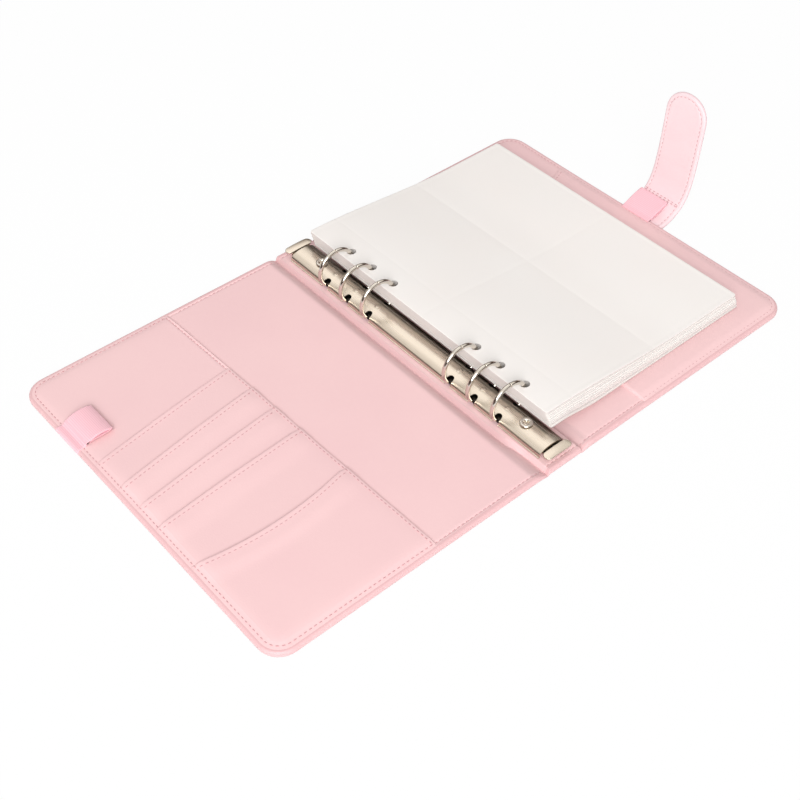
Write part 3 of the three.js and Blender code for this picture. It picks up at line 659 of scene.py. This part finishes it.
bm, _ = sewn_sheet([(PANEL_X + 0.4, -HALF + RIM + 0.4), (BACK - RIM - 0.4, -HALF + RIM + 0.4),
                       (BACK - RIM - 0.4, SLANT_HIGH), (PANEL_X + 0.4, SLANT_LOW)],
                      (0, radius, 0, 0), PANEL_TOP, PANEL_TOP + STRIP, POCKET_EDGE)
settle(bm)
finish_piece("back_slanted_pocket", bm, pocket_leatherette, "back_cover",
             ("back_pocket",))
seam = [Vector((x, SLANT_LOW + (SLANT_HIGH - SLANT_LOW) * (x - PANEL_X) / (BACK - RIM - PANEL_X) - MOUTH_SEAM,
                PANEL_TOP + STRIP)) for x in (PANEL_X + 3, BACK - RIM - 3)]
finish_piece("back_slanted_pocket_stitches", sew(seam, rise=0.0), thread_material, "back_cover")

# %% [markdown]
# ## The strap
# The closing strap is two layers of leatherette sewn together round a magnet. It is made flat, with
# its round tip and its rows of stitches on both faces, and each point is then carried onto the
# strap's line, which leaves the back cover's fore edge, curls up and stands. That line repeats the
# points of the part's source.

# %% Model the strap
STRAP_Y = -3.4
STRAP_WIDTH = 30.0
STRAP_THICK = 3.0
STRAP_ROOT_Z = 2.1
STRAP_SEWN_FROM = 13.0
STRAP_CURVE = ((-12, 0), (-3, 0), (4, 0.5), (11.5, 3.1), (18.8, 8.8), (23, 17), (25, 28), (26.2, 43),
               (27, 64.0))


def smooth_line(points, count):
    """A Catmull-Rom line through points, as evenly spaced points."""
    points = [Vector(p) for p in points]
    ends = [2 * points[0] - points[1]] + points + [2 * points[-1] - points[-2]]
    fine = []
    for a, b, c, d in zip(ends, ends[1:], ends[2:], ends[3:]):
        for i in range(20):
            t = i / 20
            fine.append(0.5 * (2 * b + (c - a) * t + (2 * a - 5 * b + 4 * c - d) * t ** 2
                               + (3 * b - a - 3 * c + d) * t ** 3))
    fine.append(points[-1])
    lengths = [0.0]
    for a, b in zip(fine, fine[1:]):
        lengths.append(lengths[-1] + (b - a).length)
    even = []
    at = 0
    for i in range(count + 1):
        goal = lengths[-1] * i / count
        while at < len(lengths) - 2 and lengths[at + 1] < goal:
            at += 1
        share = (goal - lengths[at]) / (lengths[at + 1] - lengths[at])
        even.append(fine[at].lerp(fine[at + 1], share))
    return even, lengths[-1]


strap_points, strap_length = smooth_line([(BACK + x, STRAP_ROOT_Z + z) for x, z in STRAP_CURVE], 240)
print("strap length to the tip's centre:", round(strap_length, 1))


def on_line(points, length, s, offset):
    """The place at s along a line in X and Z, off it by offset towards its inner side."""
    at = s / length * (len(points) - 1)
    i = min(len(points) - 2, max(0, int(at)))
    spot = points[i].lerp(points[i + 1], at - i)
    before, after = points[max(0, i - 2)], points[min(len(points) - 1, i + 3)]
    ahead = (after - before).normalized()
    return spot + Vector((-ahead.y, ahead.x)) * offset, ahead


def onto_strap(co):
    spot, _ = on_line(strap_points, strap_length, co.x, co.z)
    return Vector((spot.x, STRAP_Y + co.y, spot.y))


tip = STRAP_WIDTH / 2
strap_corners = [(0, -tip), (strap_length + tip, -tip), (strap_length + tip, tip), (0, tip)]
STRAP_EDGE = ((0, -1.1), (0.16, -0.62), (0.3, -0.3), (0.45, -0.08), (0.6, 0.0), (0.75, -0.03), (0.35, -0.24),
              (0.35, -0.03), (1.2, 0.05), (2.0, 0.0))
STRAP_DENTS = ((31.5, 0.4, 1.4), (55, 0.22, 1.2))
CROSS_SEAMS = (30.9, 32.2)
seams = []
bm = bmesh.new()
for face_side in (1, -1):
    half, line = sewn_sheet(strap_corners, (0, tip - 0.7, tip - 0.7, 0), 0.12, STRAP_THICK / 2, STRAP_EDGE, 6)
    divide(half, 0, steps(0, strap_length + tip, 1.6))
    divide(half, 1, steps(-tip, tip, 3.0))
    for vert in half.verts:
        crown = 0.12 * noise.noise(Vector((vert.co.x / 14, vert.co.y / 14, 3.1 * face_side)))
        if face_side > 0:
            crown -= sum(deep * math.exp(-((vert.co.x - s) / wide) ** 2) for s, deep, wide in STRAP_DENTS)
        vert.co.z = face_side * (vert.co.z + (crown if vert.co.z > 1.3 else 0.0))
    mesh = bpy.data.meshes.new("half")
    half.to_mesh(mesh)
    half.free()
    bm.from_mesh(mesh)
    bpy.data.meshes.remove(mesh)
    seams.append([Vector((p.x, p.y, face_side * (p.z + 0.05))) for p in closed(line)])
for s in CROSS_SEAMS:
    seams.append([Vector((s, y, STRAP_THICK / 2 + 0.05)) for y in (-tip + 2.2, tip - 2.2)])
for vert in bm.verts:
    vert.co = onto_strap(vert.co)
strap = finish_piece("closing_strap", bm, strap_leatherette, "back_cover",
                     ("strap_outer", "strap_inner"), 60)


def strap_stitches():
    bm = bmesh.new()
    for line in seams:
        for spot, direction in along(line, STITCH_PITCH):
            if spot.x < STRAP_SEWN_FROM:
                continue
            centre = onto_strap(spot)
            ahead = (onto_strap(spot + direction * 0.4) - centre).normalized()
            lift = (onto_strap(spot + UP * 0.4) - centre).normalized()
            add_stitch(bm, centre, ahead, lift)
    return bm


finish_piece("closing_strap_stitches", strap_stitches(), thread_material, "back_cover")

# %% [markdown]
# ## The pen loops
# Each loop is a band of ribbed elastic folded back on itself. Its path is drawn from the side, a
# row of edges is extruded across the width rib by rib, every second row is lifted along its normal
# to draw the ribs, and a solidify step gives it its thickness.

# %% Model the pen loops
ELASTIC = 0.9
ELASTIC_WIDTH = 22.0
RIBS = 21
RIB_RISE = 0.13


def elastic_band(name, path, y, body, replaced):
    points, length = smooth_line(path, 90)
    bm = bmesh.new()
    row = [bm.verts.new((p.x, y - ELASTIC_WIDTH / 2, p.y)) for p in points]
    edges = [bm.edges.new(pair) for pair in zip(row, row[1:])]
    columns = [row]
    for _ in range(RIBS * 2):
        made = bmesh.ops.extrude_edge_only(bm, edges=edges)["geom"]
        row = [item for item in made if isinstance(item, bmesh.types.BMVert)]
        edges = [item for item in made if isinstance(item, bmesh.types.BMEdge)
                 and item.verts[0] in row and item.verts[1] in row]
        bmesh.ops.translate(bm, vec=(0, ELASTIC_WIDTH / RIBS / 2, 0), verts=row)
        columns.append(row)
    bmesh.ops.recalc_face_normals(bm, faces=bm.faces[:])
    bm.normal_update()
    for number, row in enumerate(columns):
        lift = RIB_RISE if number % 2 else 0.0
        for vert in row:
            vert.co += vert.normal * lift
    bmesh.ops.solidify(bm, geom=bm.faces[:], thickness=ELASTIC)
    piece = finish_piece(name, bm, elastic_material, body, replaced, 80)
    print(name, "flat length", round(length, 1))
    return piece


FRONT_LOOP_Y = 66.0
STRAP_LOOP_Y = 1.0
fore_path = [(-185.5, 2.2), (-187.8, 1.9), (-189.1, 2.5), (-189.1, 4.1), (-187.9, 4.85), (-186.0, 4.75),
             (-184.8, 4.85), (-183.0, 6.2), (-179.5, 7.9), (-175.0, 8.8), (-170.5, 8.7), (-167.3, 7.7),
             (-166.4, 6.8), (-167.6, 6.1), (-172.0, 5.95), (-178.0, 5.9), (-183.0, 5.6)]
elastic_band("front_pen_loop_elastic", fore_path, FRONT_LOOP_Y, "front_cover", ("front_pen_loop",))


def strap_side(s, off):
    spot, _ = on_line(strap_points, strap_length, s, off)
    return spot.x, spot.y


inner = STRAP_THICK / 2 + ELASTIC / 2 + 0.05
loop_path = [strap_side(s, inner) for s in (10, 15, 20, 25, 29)]
loop_path += [strap_side(30.2, inner + 0.7)]
returning = ((29, 1.5), (25, 2.7), (20, 3.1), (15, 2.4), (12, 1.5), (9, 0.9))
loop_path += [strap_side(s, inner + rise) for s, rise in returning]
elastic_band("strap_pen_loop_elastic", loop_path, STRAP_LOOP_Y, "back_cover", ("strap_pen_loop",))

# %% [markdown]
# ## The ring mechanism
# The wires are bent from round steel, so a circle spun about the ring's axis gives each half, and a
# bevel at the tip leaves the small notch where the halves meet. The plate is an arched section
# carried along the spine as a grid, with small round pips pressed up in it. The grid bends round
# each slot and leaves its faces out, so that the bare steel shades smoothly up to the slot's edge.

# %% Model the rings
RING_YS = (-73, -54, -35, 35, 54, 73)
RING_Z = 15.3
RING_RADIUS = 12.0
WIRE = 1.3
RING_FOOT = math.radians(-44)
RING_GAP = 0.12


def half_ring(name, side, y, body, node):
    bm = bmesh.new()
    tip_angle = math.pi / 2 - RING_GAP / RING_RADIUS
    foot = Vector((side * math.cos(RING_FOOT), 0, math.sin(RING_FOOT)))
    turn = foot.to_track_quat("Z", "Y") @ Quaternion((1, 0, 0), math.pi / 2)
    ring = Vector((0, y, RING_Z)) + foot * RING_RADIUS
    made = bmesh.ops.create_circle(bm, segments=24, radius=WIRE, cap_ends=True)
    plane = Matrix((foot, Vector((0, 1, 0)), foot.cross(Vector((0, 1, 0))))).transposed().to_4x4()
    bmesh.ops.transform(bm, matrix=Matrix.Translation(ring) @ plane, verts=made["verts"])
    bmesh.ops.spin(bm, geom=bm.verts[:] + bm.edges[:] + bm.faces[:], cent=(0, y, RING_Z), axis=(0, -side, 0),
                   angle=tip_angle - RING_FOOT, steps=44, use_merge=False, use_duplicate=False)
    tip_edges = [e for e in bm.edges if all(abs(v.co.x) < 0.3 and v.co.z > RING_Z for v in e.verts)
                 and abs(e.verts[0].co.x - e.verts[1].co.x) < 0.05]
    bmesh.ops.bevel(bm, geom=tip_edges, offset=0.28, offset_type="OFFSET", segments=2, profile=0.5,
                    affect="EDGES", material=-1, clamp_overlap=True)
    return finish_piece(name, bm, wire_nickel, body, (node,), 50)


for index, y in enumerate(RING_YS):
    half_ring(f"left_wire_{index + 1}", -1, y, "left_bar", f"left_half_ring_{index + 1}")
    half_ring(f"right_wire_{index + 1}", 1, y, "right_bar", f"right_half_ring_{index + 1}")

# %% Press the plate and levers
PLATE_END = 106.0
ARCH_HALF = 8.9
ARCH_BASE = 6.0
ARCH_RISE = 3.5
SHEET_STEEL = 0.7
ARCH_COLUMNS = (0, 0.4, 0.8, 1.2, 1.7, 2.3, 3.0, 3.9, 4.8, 7.15, 7.5, 7.9, 8.3, 8.6, 8.8, 8.9)
LIP = ((8.93, 5.4), (9.1, 5.1), (9.5, 4.98), (9.6, 4.7))
SLOT_COLUMN = 8
SLOT_HALF = 2.2
SLOT_ROWS = (0, 0.45, 0.9, 1.35, 1.8, 2.2, 2.7, 3.4, 4.6, 6.5)
SLOT_PULL = {8: 1.0, 7: 0.55, 6: 0.25, 5: 0.1}
DIMPLE = (2.2, 0.42)


def arch(x):
    return ARCH_BASE + ARCH_RISE * math.sqrt(max(0.0, 1 - (x / ARCH_HALF) ** 2))


def plate_point(column, y):
    """A point of the plate: its column number counts out from the crown, to both sides."""
    number = abs(column)
    side = -1 if column < 0 else 1
    if number >= len(ARCH_COLUMNS):
        x, z = LIP[number - len(ARCH_COLUMNS)]
        return side * x, y, z
    off = min(abs(y - ring) for ring in RING_YS)
    if off <= SLOT_HALF:
        bend = SLOT_HALF - math.sqrt(max(0.0, SLOT_HALF ** 2 - off ** 2))
    else:
        bend = SLOT_HALF * ease(1 - (off - SLOT_HALF) / 2.5)
    x = ARCH_COLUMNS[number] + SLOT_PULL.get(number, 0.0) * bend
    pip = DIMPLE[1] * ease((DIMPLE[0] - math.hypot(x, off)) / 1.1)
    return side * x, y, arch(x) + pip


def steel_strip():
    """The plate: a grid laid on the arched section, open where the wires pass, then thickened."""
    reach = len(ARCH_COLUMNS) + len(LIP) - 1
    rows = {ring + sign * d for ring in RING_YS for d in SLOT_ROWS for sign in (-1, 1)}
    for i in range(-22, 23):
        y = PLATE_END * i / 22
        if min(abs(y - ring) for ring in RING_YS) > SLOT_ROWS[-1] + 1.5:
            rows.add(y)
    rows = sorted(rows)
    bm = bmesh.new()
    bmesh.ops.create_grid(bm, x_segments=2 * reach, y_segments=len(rows) - 1, size=1.0)
    place = {}
    for vert in bm.verts:
        column = round(vert.co.x * reach)
        row = round((vert.co.y + 1) / 2 * (len(rows) - 1))
        place[vert] = column, rows[row]
        vert.co = plate_point(column, rows[row])
    def in_slot(face):
        at = [place[vert] for vert in face.verts]
        off = max(min(abs(y - ring) for ring in RING_YS) for _, y in at)
        return min(abs(column) for column, _ in at) >= SLOT_COLUMN and off <= SLOT_HALF + 0.001
    bmesh.ops.delete(bm, geom=[face for face in bm.faces if in_slot(face)], context="FACES")
    bmesh.ops.recalc_face_normals(bm, faces=bm.faces[:])
    if sum(face.normal.z for face in bm.faces) < 0:
        bmesh.ops.reverse_faces(bm, faces=bm.faces[:])
    bmesh.ops.solidify(bm, geom=bm.faces[:], thickness=SHEET_STEEL)
    return bm


finish_piece("pressed_ring_plate", steel_strip(), plate_nickel, "spine", ("ring_plate",), 38)

PAD = (-9.3, 9.3, 107.5, 113.0)
PAD_TOP = 9.1
PAD_STEEL = 0.9
PAD_BOW = 0.45
PAD_ROUND = 2.7
LEVER_BARS = {
    "neck": ((13.0, 6.4, 0.8), 105.2, 6.6),
    "riser": ((13.0, 0.8, 2.2), 108.0, 7.3),
    "nose": ((3.0, 6.4, 0.5), 99.6, 5.05),
    "drop": ((3.0, 0.8, 1.9), 102.4, 5.9),
}


def thumb_lever(name, node, body, end):
    """A round-ended thumb pad, and under it a neck that goes in below the arch."""
    bm = bmesh.new()
    x0, x1, y0, y1 = PAD
    face = rounded_face(bm, [(x0, y0), (x1, y0), (x1, y1), (x0, y1)], [PAD_ROUND] * 4, 10)
    made = bmesh.ops.extrude_face_region(bm, geom=[face])["geom"]
    for vert in bm.verts:
        vert.co.z = PAD_TOP - PAD_STEEL
    for item in made:
        if isinstance(item, bmesh.types.BMVert):
            item.co.z = PAD_TOP
    rims = [e for e in bm.edges if e.verts[0].co.z == e.verts[1].co.z]
    bmesh.ops.bevel(bm, geom=rims, offset=0.3, offset_type="OFFSET", segments=3, profile=0.5, affect="EDGES",
                    material=-1, clamp_overlap=True)
    divide(bm, 0, steps(x0, x1, 1.5))
    for vert in bm.verts:
        vert.co.z -= PAD_BOW * (vert.co.x / x1) ** 2
    for size, y, z in LEVER_BARS.values():
        bar = bmesh.ops.create_cube(bm, size=1.0)["verts"]
        bmesh.ops.scale(bm, vec=size, verts=bar)
        bmesh.ops.translate(bm, vec=(0, y, z), verts=bar)
    if end < 0:
        bmesh.ops.rotate(bm, cent=(0, 0, 0), matrix=Matrix.Rotation(math.pi, 3, "Z"), verts=bm.verts[:])
    finish_piece(name, bm, pad_nickel, body, (node,), 38)


thumb_lever("thumb_lever_near", "lever_near", "near_lever", -1)
thumb_lever("thumb_lever_far", "lever_far", "far_lever", 1)
HIDDEN = ((rail_steel_painted_shade, ("left_rail", "right_rail")), (magnet_plate, ("front_magnet", "strap_magnet")),
          (grey_board, ("front_board", "spine_board", "back_board")))
for material, names in HIDDEN:
    for node in names:
        nodes[node].data.materials.clear()
        nodes[node].data.materials.append(material)

# %% [markdown]
# A rivet at each end holds the plate to the spine. Its profile is drawn once and spun: a rolled
# rim with a dished hole in the middle, and a flat head under the spine.

# %% Model the rivets
RIVET_PROFILE = ((0, 0.1), (3.7, 0.1), (3.7, 0.9), (2.0, 0.9), (2.0, 9.8), (3.3, 9.8), (3.68, 9.95),
                 (3.72, 10.3), (3.45, 10.62), (3.0, 10.72), (2.4, 10.68), (1.9, 10.5), (1.6, 10.1),
                 (1.45, 9.4), (1.4, 7.8), (0, 7.7))
RIVET_Y = 87
for name, y in (("near", -RIVET_Y), ("far", RIVET_Y)):
    bm = bmesh.new()
    points = [bm.verts.new((r, y, z)) for r, z in RIVET_PROFILE]
    edges = [bm.edges.new(pair) for pair in zip(points, points[1:])]
    bmesh.ops.spin(bm, geom=points + edges, cent=(0, y, 0), axis=(0, 0, 1), angle=math.tau, steps=40,
                   use_merge=True)
    bmesh.ops.remove_doubles(bm, verts=bm.verts[:], dist=0.001)
    finish_piece(f"rolled_rivet_{name}", bm, rivet_nickel, "spine", (f"rivet_{name}",), 50)

# %% [markdown]
# ## The sleeves
# Nine film sleeves hang on the rings. Each is two films welded round the edge and across the middle
# both ways, which makes four pockets. They rest high on the rings and come down to lie on the back
# cover, a little fanned at the end nearest the viewer, and the lowest one lies apart. Each one is a
# sewn sheet with weld lines in place of stitches, and the ring holes are cut with a round cutter.

# %% Model the sleeves
LEAVES = 9
LEAF_THICK = 1.0
LEAF_FILL = 0.95
LEAF_OUTER = 162.0
LEAF_FAR = 104.6
LEAF_NEAR = -98.4
FAN = 2.6
WELD_X = 90.0
WELD_Y = 4.0
BINDING_WELD_X = 25.1
WELD_LINES = (-1.1, -0.5, 0.5, 1.1)
LEAF_CORNER = 1.6
LEAF_WELD = 3.2
UPPER_PITCH = 0.098
WELD_DEPTH = 0.05
LEAF_EDGE = ((0, -0.06), (0.12, 0.0), (0.9, 0.0))
STACK_RINGS = (9.8, 20.8)
STACK_OUTER = (6.1, 13.5)


def stack_height(x, share):
    low = STACK_RINGS[0] + (STACK_OUTER[0] - STACK_RINGS[0]) * ease((x - 15) / 30)
    high = STACK_RINGS[1] + (STACK_OUTER[1] - STACK_RINGS[1]) * ease((x - 6) / 112)
    return low + (high - low) * share


def leaf(index):
    share = 0.5 / LEAVES if index == 0 else 1 - (LEAVES - index - 0.5) * UPPER_PITCH
    inner = 7.2 - 2.2 * share
    drift = 0.7 * noise.noise(Vector((index * 3.7, 0.4, 0.9)))
    near = LEAF_NEAR + FAN * index / (LEAVES - 1) + drift
    far = LEAF_FAR - 0.5 * (LEAVES - 1 - index) / LEAVES + drift
    outer = LEAF_OUTER - 0.35 - 0.3 * abs(drift)
    bm, _ = sewn_sheet([(inner, near), (outer, near), (outer, far), (inner, far)], [LEAF_CORNER] * 4,
                       0, LEAF_THICK, LEAF_EDGE, 1)
    welds_x = (WELD_X, BINDING_WELD_X, outer - LEAF_WELD)
    welds_y = (WELD_Y, near + LEAF_WELD, far - LEAF_WELD)
    divide(bm, 0, [weld + d for weld in welds_x for d in WELD_LINES])
    divide(bm, 1, [weld + d for weld in welds_y for d in WELD_LINES])
    divide(bm, 0, steps(inner, 44, 2.5) + steps(44, outer, 6.0))
    divide(bm, 1, steps(near, far, 6.0))
    for vert in bm.verts:
        x, y = vert.co.x, vert.co.y
        pitch = (stack_height(x, 1) - stack_height(x, 0)) * UPPER_PITCH
        off = min([abs(x - at) for at in welds_x] + [abs(y - at) for at in welds_y])
        weld = max(0.0, 1.4 - off / 0.8)
        pillow = abs(math.sin(math.pi * (x - 25) / 65)) * abs(math.sin(math.pi * (y - 4) / 100)) if x > 25 else 0
        wave = 0.18 * noise.noise(Vector((x / 45, y / 60, index * 0.08)))
        sink = WELD_DEPTH * min(1.0, weld) if vert.co.z > 0.2 else 0.0
        vert.co.z = (stack_height(x, share) + (vert.co.z - LEAF_THICK / 2) * pitch * LEAF_FILL + 0.3 * pillow
                     + wave - sink)
    return bm


HOLE_PATH = 13.05
HOLE_RADIUS = 2.6
HOLE_TURN = 0.95


def hole_cutter():
    """A round cutter for each ring, spun along a wider path than the wire's, so that it can open."""
    bm = bmesh.new()
    for y in RING_YS:
        start = Matrix.Translation((HOLE_PATH * math.cos(HOLE_TURN), y,
                                    RING_Z - HOLE_PATH * math.sin(HOLE_TURN)))
        made = bmesh.ops.create_circle(bm, segments=16, radius=HOLE_RADIUS, cap_ends=True,
                                       matrix=start @ Matrix.Rotation(HOLE_TURN, 4, "Y"))
        geometry = made["verts"] + list({e for v in made["verts"] for e in v.link_edges})
        geometry += list({f for v in made["verts"] for f in v.link_faces})
        bmesh.ops.spin(bm, geom=geometry, cent=(0, y, RING_Z), axis=(0, -1, 0), angle=2 * HOLE_TURN, steps=16,
                       use_merge=False, use_duplicate=False)
    bmesh.ops.recalc_face_normals(bm, faces=bm.faces[:])
    return bm


def cut_with(piece, cutter_bm):
    """Cuts the piece with a cutter in mm, and keeps the result as its mesh."""
    bmesh.ops.scale(cutter_bm, vec=(MM, MM, MM), verts=cutter_bm.verts[:])
    cutter = add_object("cutter", cutter_bm)
    cut = piece.modifiers.new("cut", "BOOLEAN")
    cut.operation = "DIFFERENCE"
    cut.object = cutter
    cut.solver = "EXACT"
    bpy.context.view_layer.update()
    piece_mesh = bpy.data.meshes.new_from_object(piece.evaluated_get(bpy.context.evaluated_depsgraph_get()))
    piece.modifiers.clear()
    piece.data = piece_mesh
    bpy.data.objects.remove(cutter)


for index in range(LEAVES):
    piece = finish_piece(f"sleeve_{index + 1}", leaf(index), film_material, "sleeves",
                         ("sleeve_stack",), 50)
    cut_with(piece, hole_cutter())

# %% [markdown]
# ## Floor and light
# The photograph is a cut-out on white, lit softly from all round. A large pale floor and a white
# world do that, with a low key light from the front left. The camera sees the floor as nearly white,
# and the metal sees a room that is darker below the horizon.

# %% Set the stage
floor_data = bmesh.new()
bmesh.ops.create_grid(floor_data, x_segments=1, y_segments=1, size=6.0)
floor = add_object("floor", floor_data)
floor.data.transform(Matrix.Translation((0, 0, -0.0004)))
floor_material, tree, shader = new_material("white_paper_sweep", Roughness=0.9)
shader.inputs["Base Color"].default_value = linear("F4F4F4")
shader.inputs["Specular IOR Level"].default_value = 0.0
white = add_node(tree, "ShaderNodeEmission", {"Strength": 1.0})
seen = add_node(tree, "ShaderNodeLightPath")
share = add_node(tree, "ShaderNodeMath", {"operation": "MULTIPLY", 1: 0.95}, {0: seen.outputs["Is Camera Ray"]})
blend_white = add_node(tree, "ShaderNodeMixShader", {}, {0: share.outputs[0], 1: shader.outputs[0],
                                                         2: white.outputs[0]})
tree.links.new(blend_white.outputs[0], tree.nodes["Material Output"].inputs["Surface"])
floor.data.materials.append(floor_material)

world = bpy.data.worlds.new("white_room")
bpy.context.scene.world = world
world.use_nodes = True
tree = world.node_tree
room = tree.nodes["Background"]
room.inputs["Color"].default_value = (1, 1, 1, 1)
seen = add_node(tree, "ShaderNodeLightPath")
direct = add_node(tree, "ShaderNodeMath", {"operation": "MAXIMUM"},
                  {0: seen.outputs["Is Camera Ray"], 1: seen.outputs["Is Transmission Ray"]})
mirrored = add_node(tree, "ShaderNodeMath", {"operation": "MAXIMUM"},
                    {0: direct.outputs[0], 1: seen.outputs["Is Glossy Ray"]})
level = add_node(tree, "ShaderNodeMapRange", {"To Min": 0.50, "To Max": 1.0}, {"Value": mirrored.outputs[0]})
tree.links.new(level.outputs[0], room.inputs["Strength"])
towards = add_node(tree, "ShaderNodeTexCoord").outputs["Generated"]
upward = add_node(tree, "ShaderNodeSeparateXYZ", {}, {0: towards})
horizon = add_node(tree, "ShaderNodeValToRGB", {}, {"Fac": upward.outputs["Z"]})
horizon.color_ramp.elements[0].position = 0.42
horizon.color_ramp.elements[0].color = linear("57453D")
horizon.color_ramp.elements[1].position = 0.58
horizon.color_ramp.elements[1].color = linear("FFFCF7")
seen_room = add_node(tree, "ShaderNodeMix", {"data_type": "RGBA", 6: (1, 1, 1, 1)},
                     {0: seen.outputs["Is Glossy Ray"], 7: horizon.outputs["Color"]})
tree.links.new(seen_room.outputs[2], room.inputs["Color"])


def soft_light(name, place, target, size, power):
    data = bpy.data.lights.new(name, "AREA")
    data.shape = "DISK"
    data.size = size
    data.energy = power
    lamp = bpy.data.objects.new(name, data)
    lamp.location = place
    lamp.rotation_euler = (Vector(target) - Vector(place)).to_track_quat("-Z", "Y").to_euler()
    bpy.context.scene.collection.objects.link(lamp)


soft_light("key_light", (-1.5, -1.5, 1.5), (0, 0, 0), 1.8, 62)
soft_light("fill_light", (0.5, 1.0, 1.7), (0, 0, 0), 1.4, 2.4)
